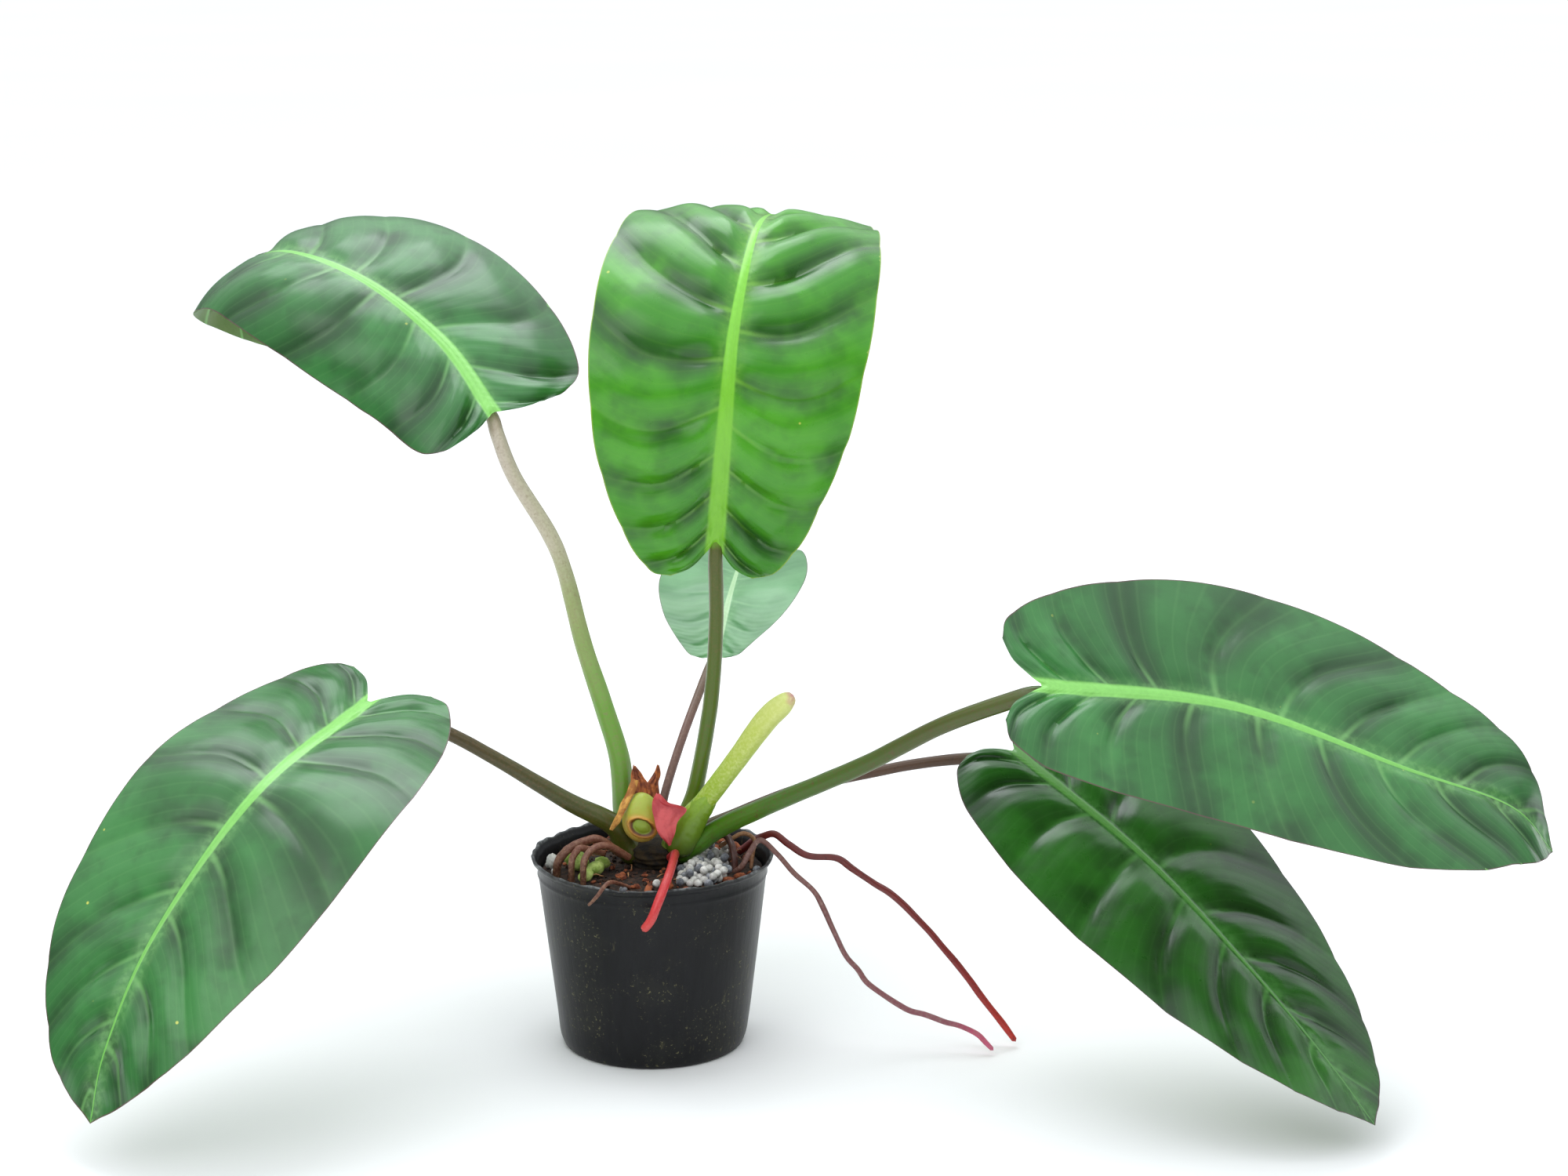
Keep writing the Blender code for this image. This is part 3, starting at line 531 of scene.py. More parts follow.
class Look(Enum):
    """The finishes of this plant and its pot, by what each one really is."""

    MATURE_LEAF = LeafFinish(
        "mature_leaf_cuticle", dark="#164518", mid="#28692b", bright="#367d38", rib="#8fd868", rib_tip="#74c052",
        vein="#7dbb6a", margin="#5b3a3c", under="#5a7634", roughness=0.34, rib_half_mm=4.0)
    OLD_LEAF = LeafFinish(
        "old_leaf_cuticle", dark="#10360a", mid="#215816", bright="#2c6c1e", rib="#5f9a48", rib_tip="#5a9a48",
        vein="#5f9f50", margin="#4c3438", under="#5a7634", roughness=0.30, rib_half_mm=2.6)
    YOUNG_LEAF = LeafFinish(
        "young_leaf_cuticle", dark="#195206", mid="#34860c", bright="#4aa016", rib="#7fc426", rib_tip="#86dc48",
        vein="#7cbc3a", margin="#8fae3c", under="#8fb04a", roughness=0.30, rib_half_mm=4.8)
    # The back leaf's pale grey-green tones are partly its own colour and partly a painted sheen of the bright sky
    # overhead.
    BACK_LEAF = LeafFinish(
        "back_leaf_cuticle_with_painted_sheen", dark="#3f7f46", mid="#569058", bright="#62a066", rib="#a9cf9a", rib_tip="#a9cf9a",
        vein="#7cb478", margin="#4c5a38", under="#7b9a4a", roughness=0.38, rib_half_mm=2.2)
    LOW_LEFT_STALK = StalkFinish(
        "low_left_petiole_skin", ((0.0, "#4d5a12"), (0.35, "#3d4206"), (0.8, "#4b3a17"), (1.0, "#5a5a26")),
        "#6f5230", 0.5, 0.42)
    UPPER_RIGHT_STALK = StalkFinish(
        "upper_right_petiole_skin", ((0.0, "#4f8a14"), (0.3, "#3f6a10"), (0.7, "#45520f"), (0.95, "#4c5a18"), (1.0, "#7fc058")),
        "#5c3f22", 0.6, 0.38)
    LOW_RIGHT_STALK = StalkFinish(
        "low_right_petiole_skin", ((0.0, "#55551f"), (0.3, "#5a3a26"), (0.8, "#4a3018"), (1.0, "#4f5a20")),
        "#3a2414", 0.6, 0.45)
    CENTRE_STALK = StalkFinish(
        "centre_petiole_skin", ((0.0, "#5f7f10"), (0.4, "#4c6a08"), (0.94, "#4a5408"), (1.0, "#76b424")),
        "#6a5a26", 0.4, 0.38)
    BACK_STALK = StalkFinish(
        "back_petiole_skin", ((0.0, "#5c3f33"), (0.5, "#6a463c"), (1.0, "#57502c")), "#8a6a58", 0.4, 0.5)
    UPPER_LEFT_STALK = StalkFinish(
        "upper_left_petiole_skin", ((0.0, "#5f8a22"), (0.3, "#6fa33a"), (0.52, "#9aa96a"), (0.66, "#c3bda2"),
                                    (0.9, "#cbbfae"), (1.0, "#8a6f4c")), "#8f7a5e", 0.35, 0.42)
    SPEAR = StalkFinish(
        "furled_leaf_skin", ((0.0, "#6f9a10"), (0.35, "#93b423"), (0.75, "#bccb5a"), (0.97, "#cfd87a"), (1.0, "#c98f86")),
        "#e3e8a2", 0.25, 0.34, 6)
    LEAF_SHEATH = StalkFinish(
        "leaf_sheath_skin", ((0.0, "#3f4a10"), (0.35, "#64851a"), (1.0, "#86ab24")), "#5f7a1a", 0.3, 0.36, 8)
    RED_ROOT = StalkFinish(
        "fresh_root_skin", ((0.0, "#9a1f26"), (0.5, "#b8262c"), (0.85, "#c62d32"), (1.0, "#c8403c")), "#d4544e", 0.3, 0.36)
    UPPER_AERIAL_ROOT = StalkFinish(
        "upper_aerial_root_skin", ((0.0, "#8a2a26"), (0.3, "#6a2420"), (0.75, "#862020"), (1.0, "#c42a1c")),
        "#3a1a16", 0.5, 0.45)
    LOWER_AERIAL_ROOT = StalkFinish(
        "lower_aerial_root_skin", ((0.0, "#6a4438"), (0.4, "#7a4a48"), (0.85, "#8a4a56"), (0.95, "#c2486a"),
                                   (1.0, "#d05a80")), "#a58a80", 0.5, 0.5)
    SOIL_ROOT = StalkFinish(
        "soil_root_skin", ((0.0, "#7a4a36"), (0.5, "#6b3a2a"), (1.0, "#54301f")), "#b08a6a", 0.45, 0.55)
    DARK_ROOT = StalkFinish("dark_root_skin", ((0.0, "#4a2218"), (1.0, "#3a1810")), "#7a4a36", 0.4, 0.5)
    TAN_ROOT = StalkFinish("tan_root_skin", ((0.0, "#a8744a"), (1.0, "#8a5a38")), "#caa684", 0.5, 0.6)
    # The crown's near-black browns are partly its own bark colour and partly painted shade, where shade falls under the
    # leaves and stalks.
    CROWN = GrainFinish("crown_tissue", "#33260f", "#120c06", 1.6, 0.4, 0.95)
    BUD = BudFinish()
    CATAPHYLL = GrainFinish("cataphyll_skin", "#dd5c5e", "#b8383f", 4.0, 0.15, 0.36)
    DRY_SHEATH = GrainFinish("papery_sheath", "#b8662c", "#6a2c12", 1.6, 0.3, 0.75, 0.1)
    DRY_STRIP = GrainFinish("papery_strip", "#d8a24c", "#9a5c22", 2.0, 0.3, 0.75, 0.1)
    SOIL = GrainFinish("coir_and_peat", "#3f2a1e", "#1a100b", 1.2, 0.6, 0.95)
    CRUMB = GrainFinish("peat_crumbs", "#4a2f20", "#20140d", 0.8, 0.3, 0.95)
    BARK = GrainFinish("pine_bark", "#a35a34", "#5a2814", 1.4, 0.5, 0.88)
    FIBRE = GrainFinish("coir_fibre", "#b98a5c", "#7a4c2a", 1.0, 0.1, 0.8)
    WHITE_GRIT = GrainFinish("pumice_white", "#e2e0da", "#b4b2ac", 0.9, 0.05, 0.75)
    GREY_GRIT = GrainFinish("pumice_grey", "#9c9fa4", "#5f6268", 0.9, 0.05, 0.75)
    GREEN_STONE = GrainFinish("mossy_zeolite", "#c4d87c", "#86a440", 1.8, 0.3, 0.85)
    POT = PotFinish()


class Finishes:
    """Makes each finish once and hands it out."""

    def __init__(self) -> None:
        """Starts with nothing made."""
        self.made: dict[Look, bpy.types.Material] = {}

    def dress(self, obj: bpy.types.Object, look: Look, slot: str, nodes: Sequence[str] = ()) -> bpy.types.Object:
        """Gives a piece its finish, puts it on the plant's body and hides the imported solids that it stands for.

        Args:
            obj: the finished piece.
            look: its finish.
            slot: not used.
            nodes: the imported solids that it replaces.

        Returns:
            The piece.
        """
        if look not in self.made:
            self.made[look] = look.value.make()
        obj.data.materials.clear()
        obj.data.materials.append(self.made[look])
        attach(obj, BODY)
        if nodes:
            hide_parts(*nodes)
        LOG.info("%s: %d faces", obj.name, len(obj.data.polygons))
        return obj


# ---------------------------------------------------------------- leaves


SINUS_POINTS = ((0.0, 0.012), (-0.02, 0.07), (-0.052, 0.19), (-0.07, 0.36))
MARGIN_POINTS = (
    (-0.07, 0.36), (-0.055, 0.56), (0.03, 0.77), (0.2, 0.94), (0.4, 1.0), (0.6, 0.94),
    (0.78, 0.74), (0.9, 0.46), (0.96, 0.22), (0.985, 0.08), (1.0, 0.0),
)
WIDEST = 0.4
VEIN_SWEEP = 0.035


@dataclass
class LeafBlade:
    """One heart-based blade: a midrib curve, a face that turns along it, and quilting between its side veins."""

    name: str
    midrib: tuple[Point, ...]
    base_face: Point
    tip_face: Point
    widths: tuple[float, float]
    rise: tuple[float, float]
    bend: tuple[float, float]
    lobe: float
    base_full: float
    tip_full: float
    look: Look
    slot: str
    veins: float = 9.0
    quilt_mm: float = 2.0
    ruffle_mm: float = 1.2
    seed: int = 1
    rows: int = 150
    half_columns: int = 44
    thickness_mm: float = 0.55
    rib_depth_mm: float = 3.0
    path: Rows = field(init=False)
    along: Rows = field(init=False)

    def __post_init__(self) -> None:
        """Reads the midrib once."""
        self.path, self.along = smooth_path(metres(self.midrib))

    def outline(self, points: Any) -> Rows:
        """These outline points with this leaf's lobe length and fullness."""
        outline = np.array(points, float)
        outline[outline[:, 0] < 0, 0] *= self.lobe
        to_base = np.clip(WIDEST - outline[:, 0], 0, None) / 0.5
        to_tip = np.clip(outline[:, 0] - WIDEST, 0, None) / 0.6
        outline[:, 1] *= 1 + self.base_full * to_base**2 + self.tip_full * to_tip**2
        return outline

    def plan(self, t: Rows, v: Rows) -> Rows:
        """A half blade laid flat.

        Args:
            t: rows x 1, from the sinus at 0 to the drip tip at 1, each row along a side vein.
            v: 1 x columns, from the midrib at 0 to the margin at 1.

        Returns:
            Rows x columns x 2: how far along the midrib, over its length, and how far out, over the half width.
        """
        sinus, sinus_along = smooth_path(self.outline(SINUS_POINTS))
        margin, margin_along = smooth_path(self.outline(MARGIN_POINTS))
        rim = read_path(margin, margin_along, t[:, 0] * margin_along[-1])[:, None]
        root = read_path(sinus, sinus_along, v[0] * sinus_along[-1])[None]
        t, v = t[..., None], v[..., None]
        rib = np.concatenate([t**1.25, np.zeros_like(t)], axis=-1)
        plan = (1 - v) * rib + v * rim + (root - (1 - v) * rib[:1] - v * rim[:1]) * (1 - t) ** 5
        plan[..., 0] -= (VEIN_SWEEP * np.sin(np.pi * v) * np.sin(np.pi * t) ** 0.7)[..., 0]
        return plan

    def midrib_frame(self, places: Rows) -> tuple[Rows, Rows, Rows, Rows]:
        """The midrib's point, direction, right side and upward normal at these distances from its foot."""
        forward = unit(np.gradient(self.path, axis=0))
        on_path = np.clip(places, 0.0, self.along[-1])
        tangent = unit(read_path(forward, self.along, on_path))
        point = read_path(self.path, self.along, on_path) + tangent * (places - on_path)[..., None]
        share = (on_path / self.along[-1])[..., None]
        face = (1 - share) * unit(self.base_face) + share * unit(self.tip_face)
        normal = unit(face - (face * tangent).sum(-1, keepdims=True) * tangent)
        return point, tangent, np.cross(tangent, normal), normal

    def half(self, index: int, t: Rows, v: Rows) -> tuple[Rows, Rows]:
        """One half of the smooth blade, 0 left or 1 right: its points and how far each is from the midrib."""
        plan = self.plan(t, v)
        point, _, right, normal = self.midrib_frame(plan[..., 0] * self.along[-1])
        width, rise, bend = self.widths[index] * MM, self.rise[index], self.bend[index]
        angle = rise + bend * plan[..., 1]
        out = width * (np.sin(angle) - math.sin(rise)) / bend
        up = width * (math.cos(rise) - np.cos(angle)) / bend
        side = 2 * index - 1
        return point + side * right * out[..., None] + normal * up[..., None], plan[..., 1] * width

    def quilting(self, t: Rows, v: Rows) -> tuple[Rows, Rows]:
        """How far the tissue stands up between the side veins, and the vein count that each point has passed.

        Args:
            t: rows x 1, along the blade.
            v: 1 x columns, signed, from the left margin at -1 to the right one at 1.

        Returns:
            Heights in metres and vein phases, rows x columns.
        """
        out = np.abs(v)
        stagger = np.where(v > 0, 0.38, 0.0)
        uneven = 0.07 * np.sin(2.0 * t * math.tau + self.seed) + 0.05 * np.sin(9.0 * t + 5.0 * v + self.seed)
        phase = self.veins * t + stagger + uneven
        pillow = np.abs(np.sin(np.pi * phase)) ** 0.75 - 0.55
        across = ease(0.02, 0.24, out) * (1 - 0.72 * ease(0.5, 1.0, out))
        lengthwise = ease(0.0, 0.10, t) * (1 - ease(0.80, 0.98, t))
        swell = 1 + 0.6 * ripple(self.seed, 4, 0.5, 2.0, t, v)
        height = self.quilt_mm * MM * pillow * across * lengthwise * swell
        crease = 0.10 * MM * np.sin(math.tau * (phase * 3 + 1.5 * out)) * across
        wave = self.ruffle_mm * MM * ripple(self.seed + 7, 5, 1.5, 4.5, t, v * 0.5) * out**2 * (1 - ease(0.9, 1.0, t))
        return height + crease + wave, phase

    def build(self) -> bpy.types.Object:
        """Builds the blade as one closed skin: its upper face, and its underside with the midrib's keel."""
        t = np.linspace(0.0, 1.0, self.rows)[:, None]
        v = np.linspace(0.0, 1.0, self.half_columns)[None] ** 1.3
        left, left_out = self.half(0, t, v)
        right, right_out = self.half(1, t, v)
        upper = np.concatenate([left[:, :0:-1], right], axis=1)
        distance = np.concatenate([left_out[:, :0:-1], right_out], axis=1)
        across = np.concatenate([-v[:, :0:-1], v], axis=1)
        lengthwise, sideways = np.gradient(upper, axis=0), np.gradient(upper, axis=1)
        normal = unit(np.cross(sideways, lengthwise))
        facing = self.midrib_frame(np.clip(t[:, 0], 0.01, 0.99) * self.along[-1])[3][:, None]
        normal *= np.sign((normal * facing).sum(-1, keepdims=True))
        height, phase = self.quilting(t, across)
        half = self.rib_depth_mm * MM * (1 - 0.86 * t)
        ridge = np.sqrt(np.clip(1 - (distance / half) ** 2, 0, 1)) * ease(0.0, 0.03, t)
        upper = upper + normal * (height + 0.30 * half * ridge)[..., None]
        body = self.thickness_mm * MM * (1 - np.abs(across) ** 6) * ease(0.0, 0.05, t) * (1 - ease(0.985, 1.0, t))
        keel = 1.15 * half * ridge * (1 - ease(0.97, 1.0, t))
        lower = upper - normal * (body + keel)[..., None]
        edge = self.margin_distance(upper)
        points = np.concatenate([upper, lower[:, ::-1]], axis=1)
        layers = {
            "rib": np.concatenate([distance, distance[:, ::-1]], axis=1),
            "vein": np.concatenate([phase, phase[:, ::-1]], axis=1),
            "edge": np.concatenate([edge, edge[:, ::-1]], axis=1),
        }
        blade = lay_grid("leaf_" + self.name, points, layers)
        tidy_surface(blade, 75.0)
        return blade

    @staticmethod
    def margin_distance(upper: Rows) -> Rows:
        """How far each point of the upper face is from its row's nearer end, along the row."""
        steps = np.linalg.norm(np.diff(upper, axis=1), axis=2)
        walked = np.concatenate([np.zeros((len(upper), 1)), np.cumsum(steps, axis=1)], axis=1)
        return np.minimum(walked, walked[:, -1:] - walked)

    def dress(self, finishes: Finishes) -> bpy.types.Object:
        """Builds the blade and gives it its finish."""
        return finishes.dress(self.build(), self.look, self.slot, [f"blade_{self.name}"])


LEAVES = (
    LeafBlade(
        "low_left", ((-134, -32, 183), (-176, -104, 160), (-219, -138, 103), (-240, -158, 55), (-247, -166, 22)),
        (-0.15, -0.64, 0.75), (-0.54, -0.79, 0.29), (68, 65), (0.10, 0.13), (-0.34, -0.36), 1.05, -0.06, 0.03,
        Look.MATURE_LEAF, "leaf_blade", veins=9.0, quilt_mm=3.0, seed=3),
    LeafBlade(
        "upper_right", ((183, -102, 209), (271, -88, 196), (352, -96, 168), (403, -90, 148), (427, -78, 122)),
        (0.05, -0.74, 0.68), (0.49, -0.53, 0.70), (67, 62), (0.14, 0.13), (-0.29, -0.34), 0.97, -0.1, 0.0,
        Look.MATURE_LEAF, "leaf_blade", veins=10.0, quilt_mm=3.8, seed=11),
    LeafBlade(
        "low_right", ((176, -29, 158), (236, -61, 115), (281, -98, 74), (315, -126, 38), (336, -144, 12)),
        (0.02, -0.57, 0.82), (0.78, -0.57, 0.24), (61, 60), (0.10, 0.10), (-0.27, -0.37), 0.79, -0.1, 0.1,
        Look.OLD_LEAF, "leaf_blade", veins=9.0, quilt_mm=3.4, seed=5),
    LeafBlade(
        "centre", ((32, -2, 254), (37, -22, 312), (42, -10, 362), (52, 34, 402), (63, 92, 402), (70, 142, 380)),
        (0.08, -0.97, 0.2), (0.02, 0.22, 0.97), (69, 66), (0.11, 0.09), (-0.40, -0.42), 0.92, -0.2, 0.1,
        Look.YOUNG_LEAF, "young_leaf_blade", veins=12.0, quilt_mm=5.6, seed=8),
    LeafBlade(
        "back_small", ((29, 112, 168), (37, 155, 194), (43, 205, 203), (46, 250, 193)),
        (-0.2, -0.6, 0.8), (0.0, -0.1, 0.98), (41, 39), (0.20, 0.20), (-0.30, -0.40), 0.0, -0.85, 0.0,
        Look.BACK_LEAF, "leaf_blade", veins=7.0, quilt_mm=0.8, ruffle_mm=0.6, seed=2, rows=110, half_columns=32,
        rib_depth_mm=1.8),
    LeafBlade(
        "upper_left", ((-78, 40, 311), (-106, 68, 343), (-150, 96, 371), (-196, 130, 380), (-221, 163, 359),
                       (-208, 188, 320)),
        (0.12, -0.80, 0.55), (-0.5, 0.1, 0.85), (59, 71), (0.25, 0.10), (-1.10, -0.78), 0.35, 0.0, -0.38,
        Look.MATURE_LEAF, "leaf_blade", veins=9.0, quilt_mm=3.2, seed=14),
)


# ---------------------------------------------------------------- stalks and roots


@dataclass
class Stalk:
    """A petiole, a root or a furled leaf: a skin round a smooth route, with its own radius all the way."""

    name: str
    route: tuple[Point, ...]
    radii: tuple[float, ...]
    look: Look
    slot: str
    nodes: tuple[str, ...] = ()
    samples: int = 90
    around: int = 24
    flat: float = 1.0
    groove: float = 0.0
    groove_turn: float = math.pi / 2
    knobs: float = 0.04
    blunt: float = 1.0
    seed: int = 1

    def build(self) -> bpy.types.Object:
        """Builds the skin, rounded over at both ends."""
        path, along = smooth_path(metres(self.route))
        keys, _ = smooth_path(np.column_stack([np.arange(len(self.radii)), metres(self.radii)]))
        share = np.linspace(0.0, 1.0, self.samples)
        centre = read_path(path, along, share * along[-1])
        radius = np.interp(share * along[-1], along, keys[:, 1])
        start, end = radius[0], radius[-1] * self.blunt
        reach = share * along[-1]
        radius = radius * np.sqrt(1 - np.clip(1 - reach / start, 0, 1) ** 2)
        radius = radius * np.sqrt(1 - np.clip(1 - (along[-1] - reach) / end, 0, 1) ** 2)
        tangent = unit(np.gradient(centre, axis=0))
        side = self.carry_side(tangent)
        up = np.cross(side, tangent)
        turn = np.linspace(0.0, math.tau, self.around + 1)
        bump = 1 + self.knobs * ripple(self.seed, 6, 3.0, 14.0, share[:, None], np.sin(turn)[None] * 0.08)
        bump = bump + 0.5 * self.knobs * np.sin(3 * turn + 9 * share[:, None] + self.seed)
        dip = 1 - self.groove * np.exp(-(1 - np.cos(turn - self.groove_turn)) / 0.1)
        reach_out = (radius[:, None] * bump * dip)[..., None]
        ring = np.cos(turn)[None, :, None] * side[:, None] + self.flat * np.sin(turn)[None, :, None] * up[:, None]
        skin = lay_grid(self.name, centre[:, None] + reach_out * ring)
        tidy_surface(skin, 80.0)
        return skin

    @staticmethod
    def carry_side(tangent: Rows) -> Rows:
        """A side direction that turns as little as it can along the route."""
        first = np.cross(tangent[0], (0.0, 0.0, 1.0))
        if np.linalg.norm(first) < 0.1:
            first = np.cross(tangent[0], (0.0, 1.0, 0.0))
        sides = [unit(first)]
        for here in tangent[1:]:
            sides.append(unit(sides[-1] - (sides[-1] @ here) * here))
        return np.array(sides)

    def dress(self, finishes: Finishes) -> bpy.types.Object:
        """Builds the stalk and gives it its finish."""
        return finishes.dress(self.build(), self.look, self.slot, self.nodes)


PETIOLES = (
    Stalk("stalk_low_left",
          ((-6, -2, 93), (-13, -2, 101), (-19, -5, 113), (-42, -9, 127), (-72, -13, 147), (-96, -17, 162),
           (-118, -24, 174), (-131, -28, 178.5), (-137, -35, 177)),
          (6.0, 6.0, 5.4, 4.4, 3.6, 3.4, 3.4, 3.3, 2.4), Look.LOW_LEFT_STALK, "petiole", ("petiole_low_left",),
          groove=0.06, seed=4),
    Stalk("stalk_upper_right",
          ((10, -3, 95), (22, -5, 103), (35, -8, 113), (65, -28, 133), (103, -52, 157), (138, -77, 183),
           (168, -93, 199), (181, -98, 204.5), (190, -97, 203)),
          (5.6, 5.2, 5.0, 4.5, 4.3, 4.1, 4.1, 3.6, 2.6), Look.UPPER_RIGHT_STALK, "petiole", ("petiole_upper_right",),
          groove=0.08, seed=6),
    Stalk("stalk_low_right",
          ((10, 7, 95), (21, 10, 104), (38, 11, 112), (73, 6, 128), (108, 0, 138), (135, -6, 145), (160, -18, 151),
           (173, -25, 153.5), (182, -30, 147)),
          (4.0, 3.7, 3.2, 2.8, 2.7, 2.7, 2.9, 2.7, 1.9), Look.LOW_RIGHT_STALK, "petiole", ("petiole_low_right",),
          groove=0.06, seed=9),
    Stalk("stalk_centre",
          ((8, 4, 95), (13, 5, 104), (17, 4, 116), (22, 5, 131), (29, 4, 171), (32, 3, 211), (32, 1, 242),
           (32.3, 0.2, 253), (33, 1.5, 262)),
          (4.6, 4.6, 4.3, 4.1, 3.9, 3.7, 3.7, 3.2, 1.6), Look.CENTRE_STALK, "petiole", ("petiole_centre",),
          groove=0.08, seed=12),
    Stalk("stalk_back_small",
          ((2, 10, 96), (3, 16, 106), (6, 21, 122), (14, 48, 143), (22, 80, 159), (27, 104, 167), (30, 118, 171)),
          (2.6, 2.2, 2.2, 2.2, 2.3, 2.3, 1.6), Look.BACK_STALK, "petiole", ("petiole_back_small",), seed=15),
    Stalk("stalk_upper_left",
          ((-6, 7, 94), (-11, 10, 104), (-14, 8, 115), (-16, 10, 142), (-24, 14, 169), (-34, 20, 199), (-43, 27, 233),
           (-51, 32, 252), (-68, 38, 279), (-76, 41.5, 299), (-79, 45, 308), (-85, 52, 315)),
          (6.0, 5.8, 5.6, 5.2, 4.8, 4.4, 4.0, 4.0, 3.8, 3.6, 3.3, 2.2), Look.UPPER_LEFT_STALK, "pale_petiole",
          ("petiole_upper_left",), samples=120, groove=0.08, seed=18),
    Stalk("furled_new_leaf",
          ((8, -5, 98), (13, -8, 110), (20, -9, 119), (27, -10, 127), (42, -16, 149), (56, -22, 170), (65, -26, 180),
           (70, -28, 185)),
          (4.2, 4.2, 4.2, 4.2, 4.3, 4.8, 4.3, 2.2), Look.SPEAR, "spear_leaf", ("new_leaf_spear",), flat=1.22,
          groove=0.16, groove_turn=0.0, knobs=0.02, seed=21),
    Stalk("new_leaf_sheath",
          ((12, -6, 97), (14, -7.5, 104), (17.5, -8, 111), (22, -8.5, 119), (27, -9.5, 126), (30, -10.5, 131)),
          (6.5, 7.8, 7.6, 6.6, 5.4, 3.6), Look.LEAF_SHEATH, "spear_leaf", knobs=0.03, groove=0.1, groove_turn=0.5,
          blunt=0.6, seed=22),
)

ROOTS = (
    Stalk("hanging_red_root",
          ((9, -14, 98), (12, -21, 103), (12, -32, 104.5), (11, -48, 104), (9, -62, 101), (5, -68, 92), (2, -69.5, 85),
           (-2, -70, 80)),
          (2.2, 2.1, 2.1, 2.1, 2.15, 2.2, 2.15, 1.9), Look.RED_ROOT, "red_root", ("red_root",), knobs=0.06, seed=31),
    Stalk("aerial_root_over_right",
          ((40, 17, 90), (46, 14, 95), (51, 9, 101), (55, 2, 104.5), (61, -2, 107), (68, -6, 103), (77, -8, 98),
           (91, -9, 97), (99, -10, 92), (110, -10, 84), (120, -9, 77), (136, -8, 60), (155, -9, 37), (163, -10, 26),
           (173, -12, 13.5), (181, -14, 2.8)),
          (1.8, 1.8, 1.75, 1.75, 1.7, 1.75, 1.65, 1.7, 1.75, 1.6, 1.75, 1.65, 1.75, 1.65, 1.7, 1.4),
          Look.UPPER_AERIAL_ROOT, "aerial_root", ("aerial_root_upper",), samples=150, around=16, knobs=0.16, seed=33),
    Stalk("aerial_root_under_right",
          ((40, -12, 90), (45, -16, 95), (49, -13, 102), (54, -12, 107), (62, -13, 100.5), (70, -15, 91.5),
           (80, -18, 83), (85, -19, 74), (95, -18, 51), (102, -17, 41.5), (108, -17, 33.5), (125, -18, 22),
           (135, -19, 19), (145, -20, 15.6), (152, -21, 14), (161, -22, 10), (165.5, -24, 6), (169, -26, 2.8)),
          (1.4, 1.4, 1.35, 1.35, 1.3, 1.35, 1.3, 1.4, 1.3, 1.35, 1.4, 1.45, 1.35, 1.4, 1.35, 1.35, 1.3, 1.05),
          Look.LOWER_AERIAL_ROOT, "aerial_root", ("aerial_root_lower",), samples=170, around=16, knobs=0.16, seed=36),
    Stalk("arching_root_outer",
          ((-14, -12, 99), (-25, -17, 109), (-33, -18, 108), (-39, -19.5, 105.5), (-43, -21, 102), (-45.5, -22, 97.5),
           (-46, -22, 90)),
          (2.0, 2.1, 2.2, 2.2, 2.2, 2.1, 1.8), Look.SOIL_ROOT, "soil_root", ("brown_root_outer",), around=16,
          knobs=0.1, seed=41),
    Stalk("arching_root_middle",
          ((-22, -18, 102), (-33, -25, 107), (-35.5, -26.5, 106), (-37.5, -28, 103), (-38, -30, 99), (-38, -31, 90)),
          (1.6, 1.7, 1.7, 1.7, 1.6, 1.4), Look.SOIL_ROOT, "soil_root", ("brown_root_middle",), around=16,
          knobs=0.1, seed=43),
    Stalk("arching_root_inner",
          ((-10, -16, 99), (-19, -23, 107), (-24, -26, 108.5), (-28, -29, 107.5), (-31, -33, 104.5), (-32, -36, 100),
           (-32, -37, 90)),
          (1.8, 1.8, 1.8, 1.8, 1.7, 1.6, 1.4), Look.SOIL_ROOT, "soil_root", ("brown_root_inner",), around=16,
          knobs=0.1, seed=45),
    Stalk("rootlet_over_lip",
          ((-8, -42, 92), (-13, -49, 96.5), (-17, -56, 100), (-20, -61, 99.8), (-24, -64, 95), (-28, -65, 91)),
          (1.0, 1.0, 1.0, 1.0, 0.9, 0.7), Look.SOIL_ROOT, "soil_root", ("rootlet_over_rim",), around=12,
          knobs=0.12, seed=47),
    Stalk("thick_dark_root",
          ((24, 4, 100), (33, 4, 105.5), (37, 1, 105), (39, -3, 103), (40, -7, 101), (41, -10.5, 97), (41, -12.5, 90)),
          (1.8, 1.8, 1.8, 1.8, 1.75, 1.7, 1.5), Look.DARK_ROOT, "soil_root", ("dark_root",), around=16,
          knobs=0.08, seed=49),
    Stalk("looping_tan_root",
          ((33, 6, 98), (40, 4, 103), (44, 5, 105), (48, 5, 104.5), (51, 2.5, 102), (50, -2, 98), (49, -6, 90)),
          (1.1, 1.1, 1.1, 1.1, 1.1, 1.0, 0.8), Look.TAN_ROOT, "soil_root", ("tan_root",), around=12,
          knobs=0.12, seed=51),
)


# ---------------------------------------------------------------- pot


